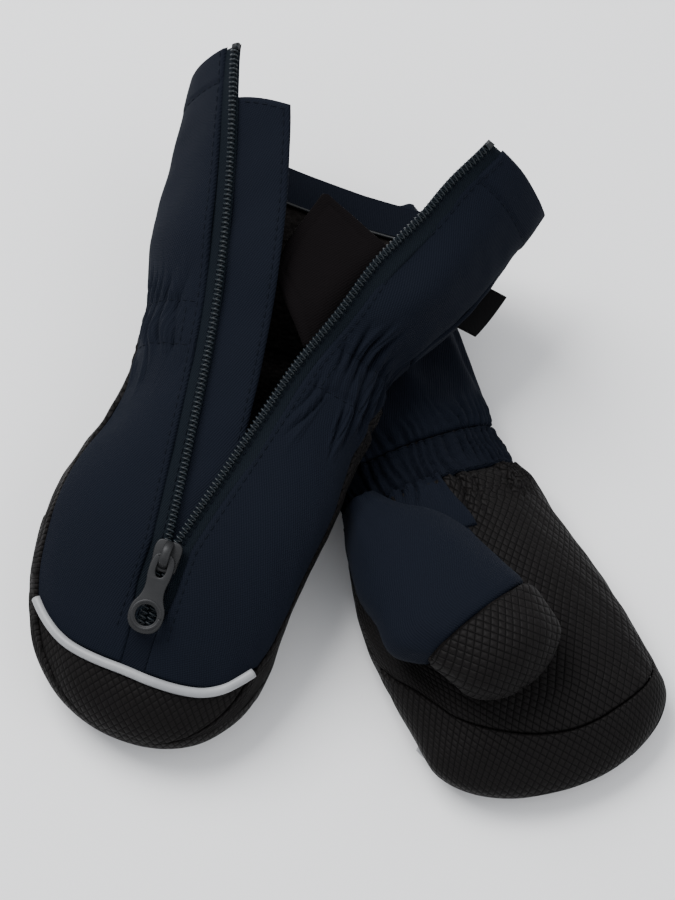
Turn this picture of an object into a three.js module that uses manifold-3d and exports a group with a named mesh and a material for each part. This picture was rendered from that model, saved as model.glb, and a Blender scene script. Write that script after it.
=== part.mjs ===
// A pair of toddler's padded zip mittens: the left one back up and unzipped, the right one palm up and zipped.
// Each mitten is laid out in its own axes: u from finger end to cuff, v across, z up, and an inset o into the skin.
import * as THREE from 'three';
import Module from 'manifold-3d';

const wasm = await Module();
wasm.setup();

// Driving dimensions, mm.
const SHELL = 0.9;
const GAP = 0.4;
const TAPE = [1.5, 2.05];
const UNDERLAP = [2.5, 3.3];
const PADDING = [2.3, 4.6];
const LINING = [5.7, 7.3];
const CUFF_FLEECE = [1.6, 3.2];
const TONGUE = [3.8, 5.3];
const CHAIN_HALF = 2.5;
const COIL_OUT = 0.6;
const PANEL_EDGE = 6.5;
const TAPE_REACH = 9.6;
const PLACKET_HALF = 4.1;
const PIPING_RADIUS = 1.3;
const ROW_STEP = 14;
const SLIDER = { length: 10, width: 8.6, plate: 1, flange: 1.1, bridge: 2.2, opening: 1.7, bar: 0.8 };
const PULL = { length: 25.5, width: 11.4, thick: 0.8, ring: 2 };
const LABEL = { length: 20, out: 6, thick: 0.7 };

// The left mitten, back up: distances along u, then the skin's left, right, top and bottom, and its widest height.
const LEFT = {
  name: 'left', tip: [-75, -97], heading: 19.4, nose: 42, back: 90, wrist: [130, 146], hem: 220,
  left: [[0, -38.5], [30, -39.5], [48, -42], [60, -42.5], [72, -41.5], [85, -38.5], [97, -35], [112, -33], [125, -34.5], [138, -36], [157, -42], [185, -46], [222, -49]],
  right: [[0, 51], [14, 47.5], [30, 45], [60, 46], [85, 48], [106, 48], [117, 49], [138, 49.5], [150, 57], [165, 66], [189, 73.5], [205, 79], [222, 82]],
  top: [[0, 33], [19, 34], [30, 38], [57, 47.5], [90, 53], [130, 61], [150, 68], [183, 79], [213, 94], [222, 97]],
  bottom: [[0, 0], [20, 0], [36, 8], [50, 18.2], [60, 19], [130, 19.5], [150, 22], [165, 24], [222, 24]],
  waist: [[0, 12], [30, 19], [60, 31], [100, 34], [130, 36], [150, 43], [183, 50], [222, 58]],
  chain: {
    inner: [[20, 3.5], [54, 3.5], [56, 3.5], [75, 1], [103, -3.3], [131, -7.9], [152, -12.4], [180, -20], [214, -31], [222, -33]],
    outer: [[20, 3.5], [54, 3.5], [56, 3.5], [75, 8], [106, 15.6], [127, 21], [147, 28.8], [164, 34.6], [185, 44], [222, 60]],
  },
  // How far each side of the hem is drawn in, by degrees from the middle of the back.
  drawn: [[-180, 14], [-100, 13], [-81, 14], [-46, 10], [0, 4], [30, 0], [47, 0], [87, 6], [120, 11], [180, 14]],
  chainStart: 30, slider: 52, piping: 17,
  thumb: { tip: [50, 9], base: [113, -15], low: [0, 0], high: [16.6, 17.4], width: 17 },
};

// The right mitten, palm up, its cuff pressed flat under the left one.
const RIGHT = {
  name: 'right', tip: [70, -116], heading: -21.2, nose: 24, back: 270, wrist: [110, 126], hem: 216,
  left: [[0, -30], [20, -34], [45, -37], [70, -38], [96, -33.5], [117, -27.5], [134, -30], [157, -33], [216, -38]],
  right: [[0, 45], [20, 46.5], [45, 45.5], [70, 41], [90, 36.5], [104, 34.5], [112, 31], [121, 28.8], [134, 31], [157, 32], [216, 38]],
  top: [[0, 20], [20, 25], [45, 29], [75, 29.5], [100, 27], [118, 23], [134, 23], [157, 20.5], [180, 17.5], [216, 17.5]],
  bottom: [[0, -2.4], [216, -2.4]],
  waist: [[0, 9], [20, 11], [60, 13], [118, 11], [157, 9.5], [216, 8.5]],
  chain: { inner: [[0, 2.5], [216, 0]], outer: [[0, 2.5], [216, 0]] },
  chainStart: 30, slider: 204, piping: 17,
  thumb: { tip: [29, 2], base: [106, -14], low: [32.2, 28.4], high: [50, 46], width: 19 },
};
const GROOVE = { depth: 4.9, half: 17 };

const COLOURS = {
  navy: 0x23304a, navyDark: 0x1a2438, grip: 0x201f20, piping: 0xb9bcbe, zip: 0x1c2f3c,
  metal: 0x55575a, fleece: 0x17130f, padding: 0xd8d8d4, label: 0x0c0c0d,
};

const parts = [];
const rad = THREE.MathUtils.degToRad;
const lerp = THREE.MathUtils.lerp;
const clamp = THREE.MathUtils.clamp;
const ramp = (x, a, b) => THREE.MathUtils.smoothstep(x, a, b);

function addPart(name, geometry, colour, metalness = 0) {
  geometry.computeVertexNormals();
  const material = new THREE.MeshStandardMaterial({ color: COLOURS[colour], roughness: 0.8, metalness });
  const mesh = new THREE.Mesh(geometry, material);
  mesh.name = name;
  parts.push(mesh);
}

// A smooth curve through [position, value] keys.
function curve(keys) {
  const slope = keys.map((_, i) => {
    const [a, b] = [keys[Math.max(i - 1, 0)], keys[Math.min(i + 1, keys.length - 1)]];
    return (b[1] - a[1]) / (b[0] - a[0]);
  });
  return (x) => {
    const q = clamp(x, keys[0][0], keys.at(-1)[0]);
    let i = 0;
    while (i < keys.length - 2 && q > keys[i + 1][0]) i += 1;
    const [[x0, y0], [x1, y1]] = [keys[i], keys[i + 1]];
    const [w, s] = [x1 - x0, (q - x0) / (x1 - x0)];
    const [s2, s3] = [s * s, s * s * s];
    return (2 * s3 - 3 * s2 + 1) * y0 + (s3 - 2 * s2 + s) * w * slope[i]
      + (3 * s2 - 2 * s3) * y1 + (s3 - s2) * w * slope[i + 1];
  };
}

function closed(points, faces) {
  let volume = 0;
  for (const [a, b, c] of faces) volume += points[a].dot(new THREE.Vector3().crossVectors(points[b], points[c]));
  const index = faces.flatMap(([a, b, c]) => (volume < 0 ? [a, c, b] : [a, b, c]));
  const geometry = new THREE.BufferGeometry();
  geometry.setAttribute('position', new THREE.Float32BufferAttribute(points.flatMap((p) => p.toArray()), 3));
  geometry.setIndex(index);
  return geometry;
}

// A curved plate: point(i, j, side) over a grid of rows and columns, side 0 outside and 1 inside.
function plate(rows, columns, point, { ring = false, pole = false } = {}) {
  const [points, ids, faces] = [[], [[], []], []];
  for (const side of [0, 1]) {
    for (let i = 0; i <= rows; i += 1) {
      ids[side].push([]);
      for (let j = 0; j < columns + (ring ? 0 : 1); j += 1) {
        if (pole && i === 0 && j > 0) ids[side][0].push(ids[side][0][0]);
        else ids[side][i].push(points.push(point(i, j, side)) - 1);
      }
      if (ring) ids[side][i].push(ids[side][i][0]);
    }
  }
  const quad = (a, b, c, d) => {
    for (const f of [[a, b, c], [a, c, d]]) if (new Set(f).size === 3) faces.push(f);
  };
  const [out, inn] = ids;
  for (let i = 0; i < rows; i += 1) {
    for (let j = 0; j < columns; j += 1) {
      quad(out[i][j], out[i][j + 1], out[i + 1][j + 1], out[i + 1][j]);
      quad(inn[i][j], inn[i + 1][j], inn[i + 1][j + 1], inn[i][j + 1]);
    }
    if (!ring) {
      quad(out[i][0], out[i + 1][0], inn[i + 1][0], inn[i][0]);
      quad(out[i][columns], inn[i][columns], inn[i + 1][columns], out[i + 1][columns]);
    }
  }
  for (let j = 0; j < columns; j += 1) {
    if (!pole) quad(out[0][j], inn[0][j], inn[0][j + 1], out[0][j + 1]);
    quad(out[rows][j], out[rows][j + 1], inn[rows][j + 1], inn[rows][j]);
  }
  return closed(points, faces);
}

function rod(path, radius, sides = 8) {
  const [points, faces] = [[], []];
  path.forEach((p, i) => {
    const ahead = path[Math.min(i + 1, path.length - 1)].clone().sub(path[Math.max(i - 1, 0)]).normalize();
    const across = new THREE.Vector3(0, 0, 1).cross(ahead).normalize();
    const up = ahead.clone().cross(across);
    for (let k = 0; k < sides; k += 1) {
      const a = (2 * Math.PI * k) / sides;
      points.push(p.clone().addScaledVector(across, radius * Math.cos(a)).addScaledVector(up, radius * Math.sin(a)));
    }
  });
  const last = points.length - sides;
  for (let k = 0; k < sides; k += 1) {
    const n = (k + 1) % sides;
    for (let i = 0; i < last; i += sides) faces.push([i + k, i + sides + k, i + sides + n], [i + k, i + sides + n, i + n]);
    if (k > 0 && n > 0) faces.push([0, k, n], [last, last + n, last + k]);
  }
  return closed(points, faces);
}

// The skin of one mitten or thumb. Its sections are rounded above and flatter below.
function makeSkin(spec) {
  const side = Object.fromEntries(['left', 'right', 'top', 'bottom', 'waist'].map((k) => [k, curve(spec[k])]));
  const drawn = spec.drawn ? curve(spec.drawn) : () => 0;
  const local = (u0, t, o) => {
    const away = ((t - (spec.back ?? 0) + 540) % 360) - 180;
    const u = u0 - drawn(away) * ramp(u0, 150, 220);
    const reach = Math.max(u - o, 0) / spec.nose;
    const s = reach < 1 ? Math.sqrt(1 - (1 - reach) ** 2) : 1;
    const [l, r, w] = [side.left(u), side.right(u), side.waist(u)];
    const [c, q] = [Math.cos(rad(t)), Math.sin(rad(t))];
    const n = q > 0 ? 2 : 2.8;
    const k = s / (Math.abs(c) ** n + Math.abs(q) ** n) ** (1 / n);
    const half = (r - l) / 2 - o;
    const rise = (q > 0 ? side.top(u) - w : w - side.bottom(u)) - o;
    const v = (l + r) / 2 + half * c * k;
    let z = w + Math.max(rise, 0.5) * q * k;
    if (spec.flat) z = Math.max(z, o) + (q < 0 ? spec.flat(u, v, s) : 0);
    return new THREE.Vector3(v, u, z);
  };
  const at = (u, t, o = 0) => spec.place(local(u, t, o));
  const arc = (u, t) => local(u, t + 1, 0).distanceTo(local(u, t - 1, 0)) / 2;
  const angleAt = (u, v) => {
    const [l, r] = [side.left(u), side.right(u)];
    const c = clamp((v - (l + r) / 2) / ((r - l) / 2), -0.98, 0.98);
    return spec.back === 90 ? (Math.acos(c) * 180) / Math.PI : 360 - (Math.acos(c) * 180) / Math.PI;
  };
  return { at, arc, angleAt };
}

// Rows that every panel shares: evenly spaced by arc near the nose, and by length after it.
function rowsBetween(u0, u1, nose, extra = []) {
  const all = [0.03, 0.12, 0.3, 0.58, 0.8].map((f) => f * nose);
  for (let u = nose; u < 225; u += ROW_STEP) all.push(u);
  const apart = all.filter((u) => extra.every((e) => Math.abs(u - e) > 3));
  const inner = [...apart, ...extra].filter((u) => u > u0 + 1.2 && u < u1 - 1.2);
  return [u0, ...inner.sort((a, b) => a - b), u1];
}

function panel(skin, spec, u0, u1, t0, t1, inset, columns) {
  const angle = (u, f) => lerp(t0(u), t1(u), f);
  const settle = (end) => (f) => {
    if (typeof end !== 'function') return end;
    let u = spec.piping;
    for (let k = 0; k < 8; k += 1) u = (u + end(angle(u, f))) / 2;
    return end(angle(u, f));
  };
  const [lo, hi] = [settle(u0), settle(u1)];
  const mid = rowsBetween(lo(0.5), hi(0.5), spec.nose).map((u, _, a) => (u - a[0]) / (a.at(-1) - a[0]));
  const inward = typeof inset === 'function' ? inset : () => inset;
  return plate(mid.length - 1, columns, (i, j, side) => {
    const f = j / columns;
    const u = lerp(lo(f), hi(f), mid[i]);
    return skin.at(u, angle(u, f), inward(u)[side]);
  });
}

function toManifold(geometry) {
  const position = geometry.getAttribute('position');
  const index = geometry.getIndex();
  return new wasm.Manifold(new wasm.Mesh({
    numProp: 3, vertProperties: new Float32Array(position.array), triVerts: new Uint32Array(index.array),
  }));
}

function fromManifold(solid) {
  const mesh = solid.getMesh();
  const geometry = new THREE.BufferGeometry();
  geometry.setAttribute('position', new THREE.BufferAttribute(new Float32Array(mesh.vertProperties), 3));
  geometry.setIndex(new THREE.BufferAttribute(new Uint32Array(mesh.triVerts), 1));
  return geometry;
}

const block = (x, y, z, cx, cy, cz) => wasm.Manifold.cube([x, y, z], true).translate([cx, cy, cz]);

// The slider in its own axes: x across the chain, y towards the cuff, z out of the skin.
function sliderGeometry() {
  const s = SLIDER;
  const top = s.plate + s.opening + s.bar;
  let body = block(s.width, s.length, s.plate, 0, 0, s.plate / 2);
  for (const x of [-1, 1]) {
    body = body.add(block(1.2, s.length, s.flange + 0.2, x * (s.width / 2 - 0.6), 0, 0.1 - s.flange / 2));
  }
  const arch = block(s.bridge, 6.8, top, 0, 0, top / 2).subtract(
    block(s.bridge + 1, 5, s.opening, 0, 0, s.plate + s.opening / 2),
  );
  return fromManifold(body.add(arch));
}

// The pull: a teardrop ring whose root bar passes under the slider's bridge.
function pullGeometry() {
  const p = PULL;
  const half = p.width / 2;
  const section = (points) => new wasm.CrossSection([points]);
  const outline = [];
  const far = -(p.length - 1.2 - half);
  for (let k = 0; k <= 10; k += 1) {
    const a = Math.PI + (Math.PI * k) / 10;
    outline.push([half * Math.cos(a), far + half * Math.sin(a)]);
  }
  outline.push([half * 0.82, -9], [3.1, -4.6], [2.9, 0.3], [2.4, 0.6], [-2.4, 0.6], [-2.9, 0.3], [-3.1, -4.6], [-half * 0.82, -9]);
  const hole = [];
  for (let k = 0; k <= 16; k += 1) {
    const a = (2 * Math.PI * k) / 17;
    hole.push([(half - p.ring) * Math.cos(a), far + 1.6 + (half - p.ring + 2.6) * Math.sin(a)]);
  }
  const eye = [[-1.6, -4.5], [1.6, -4.5], [1.6, -0.55], [-1.6, -0.55]];
  const shape = section(outline).subtract(section(hole)).subtract(section(eye));
  return fromManifold(shape.extrude(p.thick).translate([0, 0, -p.thick / 2]));
}

// Sets a piece on the closed chain, its y along the chain towards the cuff and its z out of the skin.
function setOn(geometry, skin, u, angle, lift) {
  const t = angle(u);
  const origin = skin.at(u, t);
  const along = skin.at(u, t).sub(skin.at(u - 11, angle(u - 11))).normalize();
  const across = skin.at(u, t - 4).sub(skin.at(u, t + 4)).normalize();
  const out = across.clone().cross(along).normalize();
  across.crossVectors(along, out);
  const matrix = new THREE.Matrix4().makeBasis(across, along, out);
  matrix.setPosition(origin.addScaledVector(out, lift));
  return geometry.applyMatrix4(matrix);
}

function handOf(spec) {
  const h = rad(spec.heading);
  const place = (p) => new THREE.Vector3(
    spec.tip[0] + p.x * Math.cos(h) + p.y * Math.sin(h), spec.tip[1] - p.x * Math.sin(h) + p.y * Math.cos(h), p.z,
  );
  const groove = spec.back === 270 ? (u, v, s) => {
    const off = Math.abs(v - lerp(2.5, 0, u / 216)) / GROOVE.half;
    return off < 1 ? s * GROOVE.depth * (0.5 + 0.5 * Math.cos(Math.PI * off)) : 0;
  } : null;
  const skin = makeSkin({ ...spec, place, flat: groove });
  // The inner side of the zip is the thumb side; its angles grow away from the chain when the back is up.
  const sign = { inner: spec.back === 90 ? 1 : -1, outer: spec.back === 90 ? -1 : 1 };
  const chain = Object.fromEntries(['inner', 'outer'].map((k) => {
    const v = curve(spec.chain[k]);
    return [k, (u) => skin.angleAt(u, v(u))];
  }));
  const edge = (k, mm) => (u) => {
    const t = chain[k](u);
    return t + (sign[k] * (typeof mm === 'function' ? mm(u) : mm)) / (skin.arc(u, t) * (180 / Math.PI) / 57.29578);
  };
  return { spec, skin, place, sign, edge };
}

const ordered = (a, b) => [a, b];
const strip = (hand, u0, u1, k, mm0, mm1, inset, columns) => panel(
  hand.skin, hand.spec, u0, u1, ...ordered(hand.edge(k, mm0), hand.edge(k, mm1)), inset, columns,
);

// The side seams that the flaps fold on, in degrees from the middle of the back.
const FLAP_SEAM = { inner: 87, outer: 81 };

// The back of the hand between its side seams, and the piped seam that crosses it, by degrees towards the thumb side.
const BACK_SEAM = { inner: curve([[28, 66], [50, 66], [75, 68], [130, 78]]), outer: curve([[28, 66], [43, 74], [57, 79], [130, 79]]) };
const PIPED = curve([[-66, 31], [-60, 26.5], [-53, 23], [-40, 18.5], [-25, 17], [-10, 16.5], [4, 17], [19, 17.5], [31, 18.5], [46, 20.5], [57, 26], [66, 31.5]]);
const pipingGap = (spec) => (t) => (PIPING_RADIUS + 2 * GAP) * (1 + 0.5 * ramp(Math.abs(t - spec.back), 38, 58));
const pipingAt = (hand, t) => PIPED((t - hand.spec.back) * hand.sign.inner);
// The seam of the fingertip wrap across the palm side, by degrees from its middle towards the thumb side.
const WRAP_SEAM = curve([[-90, 32], [-65, 23.5], [-41, 17.5], [-14, 14], [9, 16], [26, 22], [43, 31.5], [52, 37], [70, 43], [90, 45]]);

function fingerEnd(hand) {
  const { spec, skin } = hand;
  const rim = (t) => {
    const away = Math.abs(((t - spec.back + 540) % 360) - 180);
    const side = (((t - spec.back - 180) * -hand.sign.inner + 540) % 360) - 180;
    return lerp(4, WRAP_SEAM(clamp(side, -90, 90)), ramp(away, 44, 96));
  };
  const columns = 44;
  const start = spec.back - 180;
  const shares = [0, 0.015, 0.06, 0.14, 0.26, 0.42, 0.68, 1];
  addPart(`${spec.name}_fingertip_wrap`, plate(shares.length - 1, columns, (i, j, side) => {
    const t = start + (360 * j) / columns;
    return skin.at(Math.max(rim(t) * shares[i], side * SHELL), t, side * SHELL);
  }, { ring: true, pole: true }), 'grip');
  const clear = pipingGap(spec);
  const across = (f) => lerp(spec.back - 64.5, spec.back + 64.5, f);
  addPart(`${spec.name}_fingertip_cap`, panel(
    skin, spec, (t) => rim(t) + 1.6, (t) => pipingAt(hand, t) - clear(t), () => across(0.02), () => across(0.98), [0, SHELL], 20,
  ), 'grip');
  const path = [];
  for (let i = 0; i <= 24; i += 1) {
    const t = across(i / 24);
    path.push(skin.at(pipingAt(hand, t), t, 0.2));
  }
  addPart(`${spec.name}_reflective_piping`, rod(path, PIPING_RADIUS), 'piping');
  return rim;
}

function handPanels(hand, rim) {
  const { spec, skin, sign, edge } = hand;
  const end = spec.wrist[0] - GAP;
  const inside = (u) => lerp(PLACKET_HALF + GAP, PANEL_EDGE, ramp(u, spec.chainStart - 3, spec.chainStart + 3));
  for (const k of ['inner', 'outer']) {
    const seam = (u) => spec.back + sign[k] * BACK_SEAM[k](u);
    addPart(`${spec.name}_back_panel_${k}`, panel(
      skin, spec, (t) => pipingAt(hand, t) + pipingGap(spec)(t), end, edge(k, inside), seam, [0, SHELL], 12,
    ), 'navy');
  }
  const [first, second] = spec.back === 90 ? ['inner', 'outer'] : ['outer', 'inner'];
  addPart(`${spec.name}_palm_panel`, panel(
    skin, spec, (t) => rim(t) + 1.1, end, (u) => spec.back + BACK_SEAM[first](u) + 2.6,
    (u) => spec.back + 357.4 - BACK_SEAM[second](u), [0, SHELL], 26,
  ), 'grip');
  addPart(`${spec.name}_zip_placket`, panel(
    skin, spec, spec.piping + PIPING_RADIUS + 2 * GAP, spec.chainStart - GAP,
    edge('inner', PLACKET_HALF), edge('outer', PLACKET_HALF), [-0.3, 0.6], 3,
  ), 'navyDark');
}

// Padding and lining are closed round the fingers and part at the zip.
function insides(hand) {
  const { spec, skin, sign, edge } = hand;
  const opening = (mm) => (u) => lerp(0.5, mm, ramp(u, spec.chainStart - 9, spec.chainStart - 1));
  const round = (k, mm) => {
    const at = edge(k, opening(mm));
    return k === 'inner' ? at : (u) => at(u) + sign[k === 'outer' ? 'inner' : 'outer'] * 360;
  };
  const tube = (u1, mm, inset, columns, release) => {
    const inward = typeof inset === 'function' ? inset : () => inset;
    const steps = [spec.chainStart - 9, spec.chainStart - 5, spec.chainStart - 1];
    if (spec.back === 90) steps.push(36, 49);
    if (release) steps.push(spec.wrist[0] + 2, spec.wrist[0] + 9, spec.wrist[1] - 2, spec.wrist[1] + 3);
    const rows = rowsBetween(0, u1, spec.nose, steps);
    const [from, to] = [round('inner', mm), round('outer', mm)];
    return plate(rows.length - 1, columns, (i, j, side) => {
      const o = inward(rows[i])[side];
      const u = Math.max(rows[i], 0) + (i === 0 ? o : 0);
      const part = release && spec.back === 90 ? ramp(u, spec.wrist[1] - 2, spec.wrist[1] + 3) : 0;
      const a = lerp(from(u), spec.back + sign.inner * 94, part);
      const b = lerp(to(u), spec.back + sign.inner * 266, part);
      return skin.at(Math.max(u, o), lerp(a, b, j / columns), o);
    }, { pole: true });
  };
  addPart(`${spec.name}_hand_padding`, tube(spec.wrist[0] - 3, 10.8, PADDING, 28, false), 'padding');
  const thin = (u) => {
    const f = ramp(u, spec.wrist[0] + 1, spec.wrist[0] + 9);
    return [lerp(LINING[0], CUFF_FLEECE[0], f), lerp(LINING[1], CUFF_FLEECE[1], f)];
  };
  addPart(`${spec.name}_fleece_lining`, tube(spec.hem - 4, 11, thin, 28, true), 'fleece');
}

function wristAndCuff(hand) {
  const { spec, skin, sign, edge } = hand;
  const turn = sign.inner * 360;
  const from = edge('inner', PANEL_EDGE);
  const to = (u) => edge('outer', PANEL_EDGE)(u) + turn;
  const band = (u0, u1) => panel(skin, spec, u0, u1, from, to, [0, SHELL], 28);
  addPart(`${spec.name}_wrist_elastic`, band(spec.wrist[0], spec.wrist[1]), 'navyDark');
  const start = spec.wrist[1] + GAP;
  if (spec.back === 270) {
    addPart(`${spec.name}_cuff`, band(start, spec.hem), 'navy');
    return;
  }
  addPart(`${spec.name}_cuff_palm`, panel(
    skin, spec, start, spec.hem, () => spec.back + 94, () => spec.back + 266, [0, SHELL], 20,
  ), 'navy');
  for (const k of ['inner', 'outer']) {
    const seam = () => spec.back + sign[k] * FLAP_SEAM[k];
    addPart(`${spec.name}_cuff_flap_${k}`, panel(skin, spec, start, spec.hem, edge(k, PANEL_EDGE), seam, [0, SHELL], 9), 'navy');
    addPart(`${spec.name}_flap_fleece_${k}`, panel(
      skin, spec, start + 5, spec.hem - 4, edge(k, PANEL_EDGE + 4.4), seam, CUFF_FLEECE, 9,
    ), 'fleece');
  }
  const under = curve([[149, 14], [166, 17], [184, 13]]);
  addPart(`${spec.name}_fleece_tongue`, strip(hand, 150, 184, 'outer', (u) => -under(u), 7, TONGUE, 5), 'fleece');
  const high = 180 - 180;
  addPart(`${spec.name}_side_label`, plate(3, 2, (i, j, side) => {
    const u = 163 + (LABEL.length * i) / 3;
    const t = high + 4 + side * 1.1;
    return skin.at(u, t, -GAP - (LABEL.out * j) / 2);
  }), 'label');
}

function zip(hand) {
  const { spec, skin, edge } = hand;
  const lengths = spec.back === 270
    ? [['', spec.chainStart, spec.hem - 2]]
    : [['_hand', spec.chainStart, spec.wrist[1]], ['_cuff', spec.wrist[1] + 4 * GAP, spec.hem - 2]];
  for (const [part, u0, u1] of lengths) {
    for (const k of ['inner', 'outer']) {
      addPart(`${spec.name}_zip_tape_${k}${part}`, strip(hand, u0, u1, k, 0.5, TAPE_REACH, TAPE, 3), 'zip');
      addPart(`${spec.name}_zip_coil_${k}${part}`, strip(hand, u0, u1, k, 0.15, CHAIN_HALF, [-COIL_OUT, SHELL], 2), 'zip');
    }
    if (spec.back === 90) {
      const reach = curve([[33, 9], [60, 9], [80, 15], [110, 17], [220, 18]]);
      addPart(`${spec.name}_zip_underlap${part}`, strip(
        hand, part === '_cuff' ? u0 + 6 : u0, part === '_cuff' ? 202 : u1, 'inner', (u) => -reach(u), TAPE_REACH - 0.2, UNDERLAP, 5,
      ), 'navyDark');
    }
  }
  const middle = edge('inner', 0);
  const base = COIL_OUT + 0.35;
  addPart(`${spec.name}_zip_slider`, setOn(sliderGeometry(), skin, spec.slider, middle, base), 'metal', 0.9);
  const axis = base + SLIDER.plate + SLIDER.opening / 2;
  addPart(`${spec.name}_zip_pull`, setOn(pullGeometry(), skin, spec.slider, middle, axis), 'metal', 0.9);
}

function thumbOf(hand) {
  const { spec, place } = hand;
  const { tip, base, low, high, width } = spec.thumb;
  const axis = new THREE.Vector2(base[1] - tip[1], base[0] - tip[0]);
  const length = axis.length();
  axis.normalize();
  const skin = makeSkin({
    nose: 17, back: 90, flat: (u, v, s) => 0,
    left: [[0, -width + 1.5], [25, -width], [length, -width - 1]], right: [[0, width - 1.5], [25, width - 1], [length, width - 1]],
    top: [[0, high[0] - low[0]], [length, high[1] - low[1]]], bottom: [[0, -0.5], [length, -0.5]],
    waist: [[0, 7], [length, 8]],
    place: (p) => place(new THREE.Vector3(
      tip[1] + axis.x * p.y + axis.y * p.x, tip[0] + axis.y * p.y - axis.x * p.x, p.z + lerp(low[0], low[1], p.y / length),
    )),
  });
  const seam = spec.back === 270 ? 26 : length * 0.42;
  const ring = (u0, u1, inset, pole, columns = 18) => {
    const own = rowsBetween(u0, u1, 17);
    return plate(own.length - 1, columns, (i, j, side) => {
      const o = inset[side];
      return skin.at(Math.max(own[i], pole ? o : 0), (360 * j) / columns, o);
    }, { ring: true, pole });
  };
  addPart(`${spec.name}_thumb_tip`, ring(0, seam - GAP / 2, [0, SHELL], true), 'grip');
  addPart(`${spec.name}_thumb_shell`, ring(seam + GAP / 2, length, [0, SHELL], false), 'navy');
  addPart(`${spec.name}_thumb_lining`, ring(0, length - 2, [1.9, 3.4], true), 'fleece');
}

for (const spec of [LEFT, RIGHT]) {
  const hand = handOf(spec);
  const rim = fingerEnd(hand);
  handPanels(hand, rim);
  insides(hand);
  wristAndCuff(hand);
  zip(hand);
  thumbOf(hand);
}

// The frame's origin is the bottom centre of the whole.
const group = new THREE.Group();
group.name = 'toddler_zip_mittens';
const box = new THREE.Box3();
for (const mesh of parts) box.union(new THREE.Box3().setFromBufferAttribute(mesh.geometry.getAttribute('position')));
const centre = box.getCenter(new THREE.Vector3());
for (const mesh of parts) {
  mesh.geometry.translate(-centre.x, -centre.y, -box.min.z);
  group.add(mesh);
}

export default group;
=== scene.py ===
"""A pair of toddler's padded zip mittens.

The left one lies back up and unzipped, the right one palm up and zipped.
"""
import math

import bmesh
import bpy
import numpy as np
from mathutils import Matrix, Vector


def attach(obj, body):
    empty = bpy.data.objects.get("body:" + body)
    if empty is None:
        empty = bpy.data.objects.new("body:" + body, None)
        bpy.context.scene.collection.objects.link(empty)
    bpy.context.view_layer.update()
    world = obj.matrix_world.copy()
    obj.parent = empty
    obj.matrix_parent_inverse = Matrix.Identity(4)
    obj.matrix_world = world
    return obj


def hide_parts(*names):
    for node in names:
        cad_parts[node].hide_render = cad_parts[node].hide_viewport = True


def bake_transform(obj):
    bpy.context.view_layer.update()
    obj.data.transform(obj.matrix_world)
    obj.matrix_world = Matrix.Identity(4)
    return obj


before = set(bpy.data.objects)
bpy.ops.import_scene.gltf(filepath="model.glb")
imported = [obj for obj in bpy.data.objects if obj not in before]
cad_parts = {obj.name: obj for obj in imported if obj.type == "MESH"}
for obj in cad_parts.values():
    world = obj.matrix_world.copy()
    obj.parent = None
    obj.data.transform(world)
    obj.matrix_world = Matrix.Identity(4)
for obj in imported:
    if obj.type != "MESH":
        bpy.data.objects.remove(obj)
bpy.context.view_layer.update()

# ---------------------------------------------------------------- driving dimensions, mm
SHIFT = np.array([-2.4765, -2.5815, 1.1])  # from the layout's origin to the frame's
MM = 0.001
ARC = 0.75  # the length of one degree round a mitten, about
PANEL_EDGE = 6.5  # from the chain's free edge to the folded edge of the shell
HEM = 12.7  # depth of the cuff's hem
STITCH = (2.3, 0.9, 0.36)  # a stitch's length, the gap after it, its width
EDGE_ROW, BOX_ROW, COIL_ROW = 8.6, 12.6, 3.6  # rows of sewing, from the chain's free edge
PIPING_RADIUS = 1.6
TOOTH_PITCH = 1.6
COIL_HALF_WIDTH, COIL_HALF_HEIGHT, COIL_WIRE = 1.15, 0.62, 0.36
TAPE_REACH, TAPE_DEPTH = 9.6, 1.3  # of the zip tape: its far edge from the chain's, and its depth in the shell
SLIDER_LIFT = 0.95  # of the slider's middle over the chain
GROOVE_DEPTH, GROOVE_HALF = 4.9, 17  # the hollow under the right mitten, over its zip

# Each mitten's layout. tip is where its finger end lies, and heading its turn on the table. left, right, top,
# bottom and waist follow its outline from the finger end to the cuff. inner and outer follow the two sides of
# its zip. wrist is the elastic's panel, and rows is its sewing.
LEFT = {
    "name": "left", "tip": (-75, -97), "heading": 19.4, "nose": 42, "back": 90,
    "wrist": (130, 146), "rows": (120, 136), "hem": 220,
    "left": [(0, -38.5), (30, -39.5), (48, -42), (60, -42.5), (72, -41.5), (85, -38.5), (97, -35), (112, -33),
             (125, -34.5), (138, -36), (157, -42), (185, -45.6), (205, -46), (222, -47)],
    "right": [(0, 51), (14, 47.5), (30, 45), (60, 46), (85, 48), (106, 48), (117, 49), (138, 49.5), (150, 57),
              (165, 66), (189, 73.5), (205, 79), (222, 82)],
    "top": [(0, 33), (19, 34), (30, 38), (57, 47.5), (90, 53), (130, 61), (150, 68), (183, 79), (213, 94),
            (222, 97)],
    "bottom": [(0, 0), (20, 0), (36, 8), (50, 18.2), (60, 19), (130, 19.5), (150, 22), (165, 24), (222, 24)],
    "waist": [(0, 12), (30, 19), (60, 31), (100, 34), (130, 36), (150, 43), (183, 50), (222, 58)],
    "inner": [(20, 3.5), (54, 3.5), (56, 3.5), (75, 1), (103, -3.3), (131, -7.9), (152, -12.4), (180, -20),
              (214, -31), (222, -33)],
    "outer": [(20, 3.5), (54, 3.5), (56, 3.5), (75, 8), (106, 15.6), (127, 21), (147, 28.8), (164, 34.6),
              (185, 44), (222, 60)],
    # how far each side of the hem is drawn in, by degrees from the middle of the back
    "drawn": [(-180, 14), (-100, 13), (-81, 14), (-46, 10), (0, 4), (30, 0), (47, 0), (87, 6), (120, 11),
              (180, 14)],
    "chain_start": 30, "slider": 52, "piping": 17,
    "thumb": {"tip": (50, 9), "base": (113, -15), "high": (16.6, 17.4), "width": 17},
}
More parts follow.
